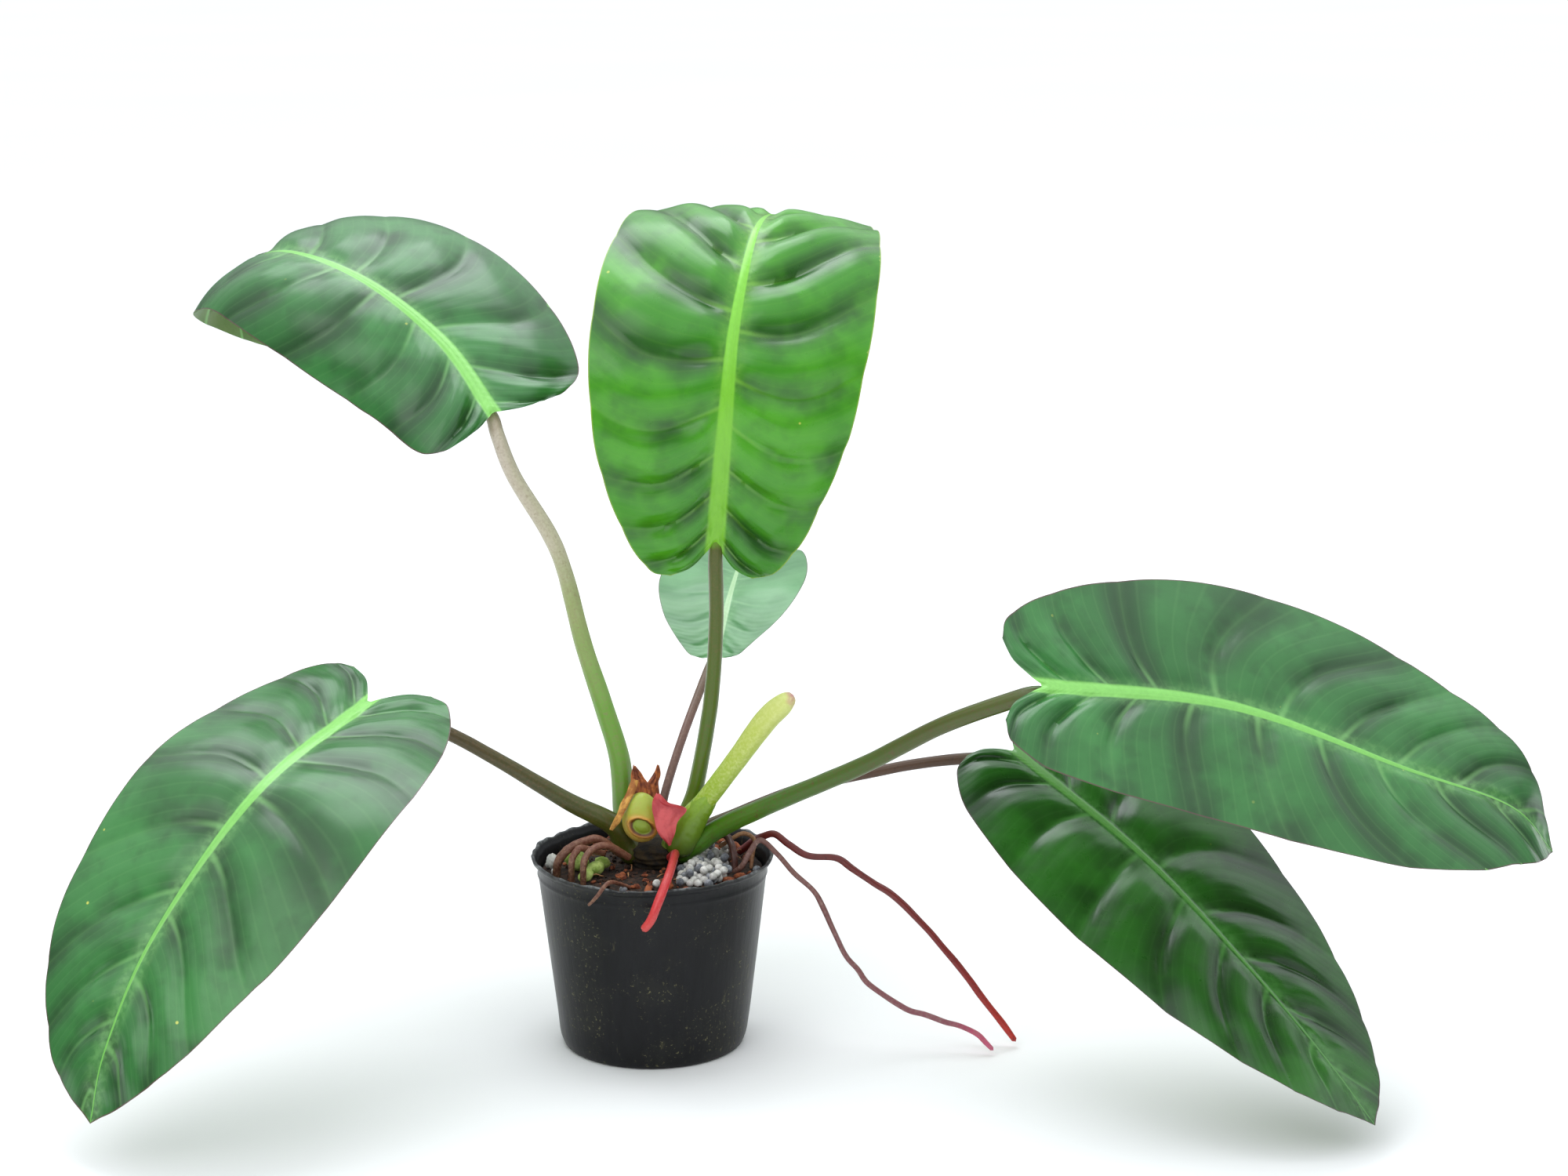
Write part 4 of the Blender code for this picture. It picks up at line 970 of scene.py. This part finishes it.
@dataclass
class NurseryPot:
    """The thin black pot: tapered wall with soft dents, a flared wavy lip, a faint band and a holed floor."""

    height: float = 97.2 * MM
    rim: float = 60.0 * MM
    top: float = 57.3 * MM
    foot: float = 47.0 * MM
    base: float = 43.5 * MM
    wall: float = 1.1 * MM
    lip: float = 4.2 * MM
    foot_height: float = 7.0 * MM
    drain_radius: float = 3.5 * MM
    drain_circle: float = 27.0 * MM
    drains: int = 6
    around: int = 192

    def wall_radius(self, height: Any) -> Rows:
        """The outer radius at this height, below the lip."""
        share = (np.asarray(height) - self.foot_height) / (self.height - self.lip - self.foot_height)
        return self.foot + (self.top - self.foot) * share

    def profile(self) -> Rows:
        """The half section, from the middle of the inner floor over the lip to the middle of the underside."""
        wall, under_lip = self.wall, self.height - self.lip
        band = self.height - 9.5 * MM
        inner_heights = np.linspace(self.foot_height, under_lip, 18)
        inner = [(0.0, wall), (self.base * 0.5, wall), (self.base - 2 * wall, wall), (self.foot - 1.6 * wall, 3.6 * MM)]
        inner += [(float(self.wall_radius(z)) - wall, z) for z in inner_heights]
        over = [
            (self.top + 0.6 * MM - wall, under_lip + 1.2 * MM), (self.rim - 1.0 * MM - wall, self.height - 1.5 * MM),
            (self.rim - 0.5 * MM - wall, self.height - 0.3 * MM), (self.rim - 0.5 * wall, self.height),
            (self.rim, self.height - 0.4 * MM), (self.rim - 0.2 * MM, self.height - 1.6 * MM),
            (self.rim - 1.2 * MM, self.height - 3.0 * MM), (self.top + 0.3 * MM, under_lip),
        ]
        outer = [(float(self.wall_radius(under_lip - 0.6 * MM)), under_lip - 0.6 * MM)]
        outer += [(float(self.wall_radius(z)), z) for z in (band + 1.6 * MM, band + 0.8 * MM)]
        outer += [(float(self.wall_radius(band)) + 0.45 * MM, band), (float(self.wall_radius(band)), band - 0.9 * MM)]
        outer += [(float(self.wall_radius(z)), z) for z in np.linspace(band - 3 * MM, self.foot_height, 20)]
        outer += [
            (self.foot - 0.5 * MM, 4.6 * MM), (self.foot - 1.3 * MM, 2.4 * MM), (self.base + 1.6 * MM, 0.9 * MM),
            (self.base + 0.6 * MM, 0.25 * MM), (self.base, 0.0), (self.base * 0.5, 0.0), (0.0, 0.0),
        ]
        return np.array(inner + over + outer)

    def build(self) -> bpy.types.Object:
        """Builds the shell with its dents, and cuts its drain holes."""
        profile = self.profile()
        angle = np.linspace(0.0, math.tau, self.around + 1)[None]
        radius, height = profile[:, :1], profile[:, 1:]
        x, y = np.cos(angle), np.sin(angle)
        near_lip = ease(self.height - 7 * MM, self.height, height)
        on_wall = ease(4 * MM, 20 * MM, height) * (radius > self.base * 0.9)
        soft = 0.55 * MM * np.sin(3 * angle + 0.7) + 0.35 * MM * np.sin(5 * angle + 2.1 + 20 * height)
        nicks = 0.5 * np.sin(9 * angle + 1.0) + 0.4 * np.sin(17 * angle + 4.0) + 0.4 * np.sin(37 * angle + 2.0)
        radius = radius + on_wall * soft * (0.4 + 0.6 * height / self.height) + near_lip * 0.45 * MM * nicks
        height = height + near_lip * (0.75 * MM * nicks - 0.5 * MM)
        points = np.stack([radius * x, radius * y, height + 0 * x], axis=-1)
        pot = lay_grid("black_nursery_pot", points)
        tidy_surface(pot, 60.0)
        apply_modifier(pot, "BOOLEAN", operation="DIFFERENCE", object=self.drain_cutter())
        bpy.data.objects.remove(bpy.data.objects["drain_cutter"])
        only_select(pot)
        bpy.ops.object.shade_smooth_by_angle(angle=math.radians(60.0))
        return pot

    def drain_cutter(self) -> bpy.types.Object:
        """One object of upright pins, where the drain holes go."""
        pins = []
        for index in range(self.drains):
            turn = math.tau * index / self.drains
            bpy.ops.mesh.primitive_cylinder_add(
                vertices=32, radius=self.drain_radius, depth=8 * MM,
                location=(self.drain_circle * math.cos(turn), self.drain_circle * math.sin(turn), 0.0))
            pins.append(bpy.context.object)
        cutter = join_pieces("drain_cutter", pins)
        settle(cutter)
        return cutter

    def dress(self, finishes: Finishes) -> bpy.types.Object:
        """Builds the pot and gives it its finish."""
        return finishes.dress(self.build(), Look.POT, "nursery_pot", ["nursery_pot"])


# ---------------------------------------------------------------- potting mix


@dataclass
class PottingMix:
    """The root ball's top: dark crumbly mix, grit beads, bark chips, fibres and a few stones."""

    pot: NurseryPot
    edge_height: float = 88.5 * MM
    top_height: float = 91.5 * MM
    top_radius: float = 42.0 * MM
    seed: int = 20

    def surface(self, x: Any, y: Any) -> Rows:
        """How high the mix is at this place."""
        x, y = np.asarray(x, float), np.asarray(y, float)
        out = np.hypot(x, y)
        mound = self.top_height - (self.top_height - self.edge_height) * ease(self.top_radius, 56 * MM, out)
        front = 2.0 * MM * ease(-10 * MM, -50 * MM, y)
        lumps = 1.5 * MM * ripple(self.seed, 9, 12.0, 60.0, x, y) + 1.0 * MM * ripple(self.seed + 3, 9, 60.0, 170.0, x, y)
        return mound + front + lumps

    def build_bed(self) -> bpy.types.Object:
        """The mix itself, filling the pot from its floor to its crumbly top."""
        side = self.pot.wall + 0.4 * MM
        rings = np.linspace(0.0, 1.0, 70)[:, None]
        angle = np.linspace(0.0, math.tau, 145)[None]
        reach = float(self.pot.wall_radius(self.edge_height)) - side - 0.6 * MM
        x, y = reach * rings * np.cos(angle), reach * rings * np.sin(angle)
        top = np.stack([x, y, self.surface(x, y)], axis=-1)
        low = []
        for radius, height in ((reach - 1.5 * MM, 70 * MM), (self.pot.foot - side - 0.5 * MM, 8 * MM),
                               (self.pot.base - side, 2 * MM), (0.0, 2 * MM)):
            low.append(np.stack([radius * np.cos(angle[0]), radius * np.sin(angle[0]),
                                 np.full(angle.shape[1], height)], axis=-1))
        bed = lay_grid("potting_mix_bed", np.concatenate([top, np.array(low)], axis=0))
        tidy_surface(bed, 60.0)
        return bed

    def lump(self, draw: random.Random, size: Point, rounds: int, rough: float) -> bpy.types.Object:
        """A small uneven lump of this size in metres, round the origin."""
        bpy.ops.object.select_all(action="DESELECT")
        bpy.ops.mesh.primitive_ico_sphere_add(subdivisions=rounds, radius=0.5)
        lump = bpy.context.object
        for vertex in lump.data.vertices:
            vertex.co *= 1 + draw.uniform(-rough, rough)
        lump.scale = size
        lump.rotation_euler = (draw.uniform(-0.5, 0.5), draw.uniform(-0.5, 0.5), draw.uniform(0, math.tau))
        return lump

    def scatter(self, name: str, places: Sequence[Point], sizes: Sequence[Point], rounds: int, rough: float,
                seed: int, smooth: float) -> bpy.types.Object:
        """Many lumps of one kind as one piece, each at its place in millimetres."""
        draw = random.Random(seed)
        made = []
        for place, size in zip(places, sizes):
            lump = self.lump(draw, tuple(side * MM for side in size), rounds, rough)
            lump.location = [c * MM for c in place]
            made.append(lump)
        group = join_pieces(name, made)
        settle(group)
        only_select(group)
        bpy.ops.object.shade_smooth_by_angle(angle=math.radians(smooth))
        return group

    def on_top(self, x: float, y: float, lift: float) -> Point:
        """A place this far above the mix, in millimetres."""
        return (x, y, float(self.surface(x * MM, y * MM)) / MM + lift)

    def beads(self, finishes: Finishes) -> None:
        """Pumice beads, packed in a patch at the front right and a few strays."""
        draw = random.Random(5)
        spots = []
        for row in range(14):
            for column in range(5):
                x = 15.0 + 4.6 * column + (2.3 if row % 2 else 0.0) + draw.uniform(-0.4, 0.4)
                y = -40.0 + 4.1 * row + draw.uniform(-0.4, 0.4)
                if math.hypot(x, y) < 50 and math.hypot(x - 3, y - 3) > 16:
                    spots.append(self.on_top(x, y, 1.5))
                    if draw.random() < 0.4:
                        spots.append(self.on_top(x + 2.3, y + 1.2, 5.0))
        spots += [self.on_top(x, y, 1.4) for x, y in ((52, -8), (-51, -2), (-47, -14), (-12, -47), (4, -44), (-30, 36))]
        white = [spot for number, spot in enumerate(spots) if number % 3]
        grey = spots[::3]
        nodes = [f"grit_bead_{k:02d}" for k in range(1, 13)]
        for name, places, look, stood in (("pumice_beads_white", white, Look.WHITE_GRIT, nodes[:8]),
                                          ("pumice_beads_grey", grey, Look.GREY_GRIT, nodes[8:])):
            sizes = [(draw.uniform(3.8, 4.6),) * 3 for _ in places]
            group = self.scatter(name, places, sizes, 3, 0.02, 7, 80.0)
            finishes.dress(group, look, "grit", stood)

    def chips(self, finishes: Finishes) -> None:
        """Bark and coir chips, with small crumbs all over."""
        draw = random.Random(12)
        big = [((24, 30), (13, 8, 6)), ((41, 24), (9, 6, 5)), ((8, -44), (9, 6, 4.5)), ((-40, 16), (10, 6, 6)),
               ((30, 18), (10, 7, 5)), ((47, 8), (8, 5, 4)), ((38, -32), (8, 5, 3)), ((0, -49), (9, 4, 3)),
               ((-6, 40), (11, 7, 4)), ((-28, 28), (10, 7, 5)), ((14, 44), (8, 6, 4)), ((44, -21), (7, 4, 4)),
               ((-22, 44), (8, 6, 4)), ((-14, -30), (6, 5, 3)), ((34, 36), (9, 6, 4)), ((18, -46), (7, 4, 3))]
        places = [self.on_top(x, y, 1.2) for (x, y), _ in big]
        chips = self.scatter("bark_chips", places, [size for _, size in big], 3, 0.10, 15, 35.0)
        finishes.dress(chips, Look.BARK, "bark",
                       ["bark_chip_back", "bark_chip_right", "bark_chip_front", "bark_chip_left"])
        for name, count, low, high, look, seed in (("peat_crumbs", 260, 1.2, 3.4, Look.CRUMB, 21),
                                                   ("bark_crumbs", 110, 1.2, 4.0, Look.BARK, 22)):
            places, sizes = [], []
            for _ in range(count):
                reach, turn = 51.5 * math.sqrt(draw.random()), draw.uniform(0, math.tau)
                size = draw.uniform(low, high)
                places.append(self.on_top(reach * math.cos(turn), reach * math.sin(turn), size * 0.2))
                sizes.append((size, size * draw.uniform(0.5, 0.9), size * draw.uniform(0.35, 0.7)))
            finishes.dress(self.scatter(name, places, sizes, 2, 0.14, seed, 30.0), look, "potting_mix")

    def stones(self, finishes: Finishes) -> None:
        """Green stones at the front left and a white chunk at the left edge."""
        green = [((-37, -10, 96.5), (13, 15, 9)), ((-27, -22, 95.6), (10, 9, 7)), ((-31, -31, 95.0), (8, 7, 6)),
                 ((-24, -12, 95.6), (8, 8, 6))]
        group = self.scatter("mossy_stones", [p for p, _ in green], [s for _, s in green], 3, 0.06, 31, 45.0)
        finishes.dress(group, Look.GREEN_STONE, "green_stone", ["green_stone_large", "green_stone_small"])
        chunk = self.scatter("pumice_chunk", [(-49, -8, 95.0)], [(6, 5, 7.5)], 3, 0.09, 33, 40.0)
        finishes.dress(chunk, Look.WHITE_GRIT, "grit", ["white_chunk"])

    def fibres(self, finishes: Finishes) -> None:
        """Thin coir fibres that curl over the mix."""
        draw = random.Random(44)
        made = []
        for number in range(34):
            x, y, turn = draw.uniform(-44, 44), draw.uniform(-46, 40), draw.uniform(0, math.tau)
            if math.hypot(x, y) > 46:
                continue
            length, curl = draw.uniform(6, 15), draw.uniform(-0.25, 0.25)
            route = []
            for step in range(5):
                route.append(self.on_top(x, y, 0.8 + 2.4 * math.sin(math.pi * step / 4) * draw.uniform(0.3, 1.0)))
                x, y, turn = x + length / 4 * math.cos(turn), y + length / 4 * math.sin(turn), turn + curl
            if math.hypot(x, y) < 53:
                made.append(Stalk(f"fibre_{number}", tuple(route), (0.28, 0.32, 0.3, 0.28, 0.15), Look.FIBRE,
                                  "potting_mix", samples=12, around=6, knobs=0.1, seed=number).build())
        finishes.dress(join_pieces("coir_fibres", made), Look.FIBRE, "potting_mix")

    def dress(self, finishes: Finishes) -> None:
        """Builds the mix and all that lies on it."""
        finishes.dress(self.build_bed(), Look.SOIL, "potting_mix", ["potting_mix"])
        self.chips(finishes)
        self.beads(finishes)
        self.stones(finishes)
        self.fibres(finishes)


# ---------------------------------------------------------------- crown


@dataclass
class Crown:
    """The short stem: a lumpy base, a torn bud with its heart, a red scale and dried sheaths."""

    centre: tuple[float, float] = (3.0, 3.0)
    bud_centre: Point = (-4.5, -11.0, 118.5)
    bud_size: Point = (10.6, 9.2, 12.6)

    def build_stem(self) -> bpy.types.Object:
        """The stem's lumpy skin, from inside the mix to under the petioles."""
        heights = np.array([78, 84, 90, 94, 97, 99.5, 101.5, 103, 104])
        reach = np.array([11.0, 11.5, 13.0, 14.5, 15.5, 15.0, 12.5, 8.0, 0.0])
        keys, _ = smooth_path(np.column_stack([heights, reach]), 60)
        rows = np.vstack([[78.0, 0.0], keys])
        angle = np.linspace(0.0, math.tau, 73)[None]
        height, radius = rows[:, :1], np.clip(rows[:, 1:], 0, None)
        bulge = 1 + 0.10 * np.sin(3 * angle + 0.5) + 0.05 * np.sin(7 * angle + height * 0.8) + 0.03 * np.sin(height * 2.2)
        x = self.centre[0] + radius * bulge * np.cos(angle) * 1.15
        y = self.centre[1] + radius * bulge * np.sin(angle)
        stem = lay_grid("stem_crown_skin", metres(np.stack([x, y, height + 0 * x], axis=-1)))
        tidy_surface(stem, 70.0)
        return stem

    def build_bud(self) -> bpy.types.Object:
        """The bud, an egg whose skin is torn open in front, with a raised rim round its heart."""
        rise = np.linspace(-1.0, 1.0, 110)[:, None]
        angle = np.linspace(0.0, math.tau, 145)[None]
        radius = np.sqrt(np.clip(1 - rise**2, 0, 1)) * (1 - 0.10 * (rise + 1)) * (1 + 0.03 * np.sin(5 * angle + rise))
        width, depth, height = self.bud_size
        x, y = width * radius * np.cos(angle), depth * radius * np.sin(angle)
        z = height * rise + 0 * angle
        tear = np.hypot((x - 0.6 + 0.35 * (z + 3.5)) / 5.8, (z + 3.0) / 4.9) + 0.05 * ripple(9, 5, 0.1, 0.4, x, z)
        tear = np.where(y < 0, tear, 3.0)
        heart = np.clip(1 - ease(0.72, 0.95, tear), 0, 1)
        lift = 0.9 * np.exp(-(((tear - 1.05) / 0.12) ** 2)) - heart * (1.9 - 1.6 * np.clip(1 - tear**2, 0, 1))
        grow = 1 + lift / depth * (radius > 0.2)
        place = np.stack([x * grow, y * grow, z * (1 + 0.4 * (grow - 1))], axis=-1) + np.array(self.bud_centre)
        bud = lay_grid("torn_bud", metres(place), {"opening": tear})
        tidy_surface(bud, 80.0)
        return bud

    def build_sheet(self, name: str, left: tuple[Point, ...], right: tuple[Point, ...], bulge_mm: float,
                    pleats: tuple[float, float], seed: int, thickness_mm: float) -> bpy.types.Object:
        """A thin scale or papery strip between two edges, bulged forwards and pleated lengthwise.

        Args:
            name: the piece's name.
            left: its left edge in mm, from the foot up.
            right: its right edge, with as many points.
            bulge_mm: how far its middle stands out in front.
            pleats: how many pleats, and their depth in mm.
            seed: sets its crumples.
            thickness_mm: its thickness.

        Returns:
            The piece.
        """
        first, _ = smooth_path(left, 56)
        second, _ = smooth_path(right, 56)
        across = np.linspace(0.0, 1.0, 41)[None, :, None]
        points = (1 - across) * first[:, None] + across * second[:, None]
        up, over = np.linspace(0.0, 1.0, 56)[:, None], across[0, :, 0][None]
        count, depth = pleats
        forward = bulge_mm * np.sin(math.pi * over) + depth * np.cos(math.tau * count * over + 2 * up)
        forward = forward + 0.5 * ripple(seed, 6, 0.6, 3.0, up, over)
        points[..., 1] -= forward
        points[..., 0] += 0.35 * ripple(seed + 3, 5, 1.5, 5.0, up, over)
        sheet = lay_grid(name, metres(points))
        tidy_surface(sheet, 60.0)
        apply_modifier(sheet, "SOLIDIFY", thickness=thickness_mm * MM, offset=0.0)
        only_select(sheet)
        bpy.ops.object.shade_smooth_by_angle(angle=math.radians(50.0))
        return sheet

    def dress(self, finishes: Finishes) -> None:
        """Builds the crown's pieces and gives them their finishes."""
        finishes.dress(self.build_stem(), Look.CROWN, "crown_tissue", ["stem_crown"])
        finishes.dress(self.build_bud(), Look.BUD, "bud", ["crown_bud"])
        red = self.build_sheet(
            "red_scale",
            ((9.2, -20.5, 107.5), (4.8, -21, 112.9), (2.5, -21.5, 118.8), (1.4, -21.5, 125), (1.6, -21, 130.5), (3.6, -20.5, 133.5)),
            ((9.8, -20.5, 107.5), (11.8, -20, 112.9), (13.4, -18.5, 118.8), (17.6, -17, 124.6), (8.8, -20.5, 129.0), (4.4, -20.5, 133.5)),
            1.6, (0.5, 0.5), 71, 0.8)
        finishes.dress(red, Look.CATAPHYLL, "cataphyll", ["red_cataphyll"])
        tall = self.build_sheet(
            "dried_sheath_left",
            ((-9, -8, 119), (-10.5, -5, 127), (-10.2, -2, 133.5), (-9.6, 0, 138.5), (-8.6, 0, 142)),
            ((0, -8, 119), (-0.5, -5, 127), (-1.6, -2, 132.5), (-4.4, 0, 136.5), (-8.0, 0, 141.5)),
            1.6, (4.0, 0.45), 66, 0.5)
        finishes.dress(tall, Look.DRY_SHEATH, "dry_sheath", ["dry_sheath"])
        short = self.build_sheet(
            "dried_sheath_right",
            ((-4, -6, 120), (-3.8, -4, 127), (-2.6, -2, 132.5), (0.6, 0, 136.5), (3.2, 0, 142.2)),
            ((4, -6, 120), (4.2, -4, 127), (3.4, -2, 132.5), (4.2, 0, 137.0), (3.8, 0, 142.0)),
            1.2, (3.0, 0.4), 68, 0.5)
        finishes.dress(short, Look.DRY_SHEATH, "dry_sheath")
        strip = self.build_sheet(
            "dried_strip",
            ((-20.0, -16, 114), (-17.5, -17, 119.5), (-14.6, -15, 126), (-11.6, -12, 132), (-9.0, -8, 137.5)),
            ((-18.6, -16, 113.5), (-14.6, -18, 119), (-11.4, -16, 125.5), (-8.2, -13, 131), (-6.0, -8, 136.5)),
            0.8, (1.0, 0.3), 73, 0.5)
        finishes.dress(strip, Look.DRY_STRIP, "dry_sheath", ["dry_strip"])


# ---------------------------------------------------------------- studio


@dataclass
class Studio:
    """A pale floor, a bright soft sky and large lights, with the camera in front."""

    camera_place: Point = (0.0654, -1.5, 0.5745)
    camera_pitch: float = 12.88
    lens_mm: float = 72.6
    floor_size: float = 60.0
    horizon: float = 0.12
    zenith: float = 1.5

    def build_floor(self) -> None:
        """A plain pale matte floor."""
        bpy.ops.object.select_all(action="DESELECT")
        bpy.ops.mesh.primitive_plane_add(size=self.floor_size)
        floor = bpy.context.object
        floor.name = "studio_floor"
        shade = Shade("matte_white_board")
        colour = shade.mix(shade.noise(900.0, 1.0), "#f1f1ef", "#f5f5f4")
        floor.data.materials.append(shade.finish(colour, 0.9, Specular_IOR_Level=0.1))

    def build_sky(self) -> None:
        """A soft sky that lights from overhead and stays dim at the horizon, in front of a plain white backdrop."""
        world = bpy.data.worlds.new("overcast")
        bpy.context.scene.world = world
        world.use_nodes = True
        tree = world.node_tree
        direction = add_node(tree, "TexCoord").outputs["Generated"]
        height = add_node(tree, "SeparateXYZ", {0: direction}).outputs[2]
        light = add_node(tree, "MapRange", {0: height, 1: -0.05, 2: 0.8, 3: self.horizon, 4: self.zenith},
                         interpolation_type="SMOOTHSTEP").outputs[0]
        sky = tree.nodes["Background"]
        sky.inputs[0].default_value = srgb("#f3f7fc")
        tree.links.new(light, sky.inputs[1])
        backdrop = add_node(tree, "Background", {0: srgb("#ffffff"), 1: 1.0})
        seen = add_node(tree, "LightPath").outputs["Is Camera Ray"]
        mixed = add_node(tree, "MixShader", {0: seen, 1: sky.outputs[0], 2: backdrop.outputs[0]})
        tree.links.new(mixed.outputs[0], tree.nodes["World Output"].inputs[0])

    def add_light(self, name: str, place: Point, size: float, watts: float, colour: str) -> None:
        """A large square light that faces the plant's middle."""
        data = bpy.data.lights.new(name, "AREA")
        data.size = size
        data.energy = watts
        data.color = srgb(colour)[:3]
        light = bpy.data.objects.new(name, data)
        light.location = place
        light.rotation_euler = (Vector(place) - Vector((0.08, 0.0, 0.2))).to_track_quat("Z", "Y").to_euler()
        bpy.context.scene.collection.objects.link(light)

    def build_camera(self) -> None:
        """The camera in front of the plant, looking slightly down."""
        data = bpy.data.cameras.new("front")
        data.sensor_width = 36.0
        data.lens = self.lens_mm
        camera = bpy.data.objects.new("front", data)
        camera.location = self.camera_place
        camera.rotation_euler = (math.radians(90.0 - self.camera_pitch), 0.0, 0.0)
        bpy.context.scene.collection.objects.link(camera)
        bpy.context.scene.camera = camera

    def build(self) -> None:
        """Sets up the floor, sky, lights and camera."""
        bpy.context.scene.view_settings.view_transform = "Standard"
        self.build_floor()
        self.build_sky()
        self.add_light("overhead_softbox", (-0.2, 0.5, 1.9), 1.3, 18.0, "#f6faff")
        self.add_light("front_left_softbox", (-1.3, -1.6, 1.7), 1.4, 8.0, "#ffffff")
        self.build_camera()
        LOG.info("studio ready")


# ---------------------------------------------------------------- whole plant


def main() -> None:
    """Builds the studio, the pot, the mix, the crown, the stalks, the roots and the leaves, in that order."""
    logging.basicConfig(level=logging.INFO, format="%(message)s")
    Studio().build()
    finishes = Finishes()
    pot = NurseryPot()
    pot.dress(finishes)
    PottingMix(pot).dress(finishes)
    Crown().dress(finishes)
    for stalk in PETIOLES + ROOTS:
        stalk.dress(finishes)
    for leaf in LEAVES:
        leaf.dress(finishes)


if __name__ == "__main__":
    main()
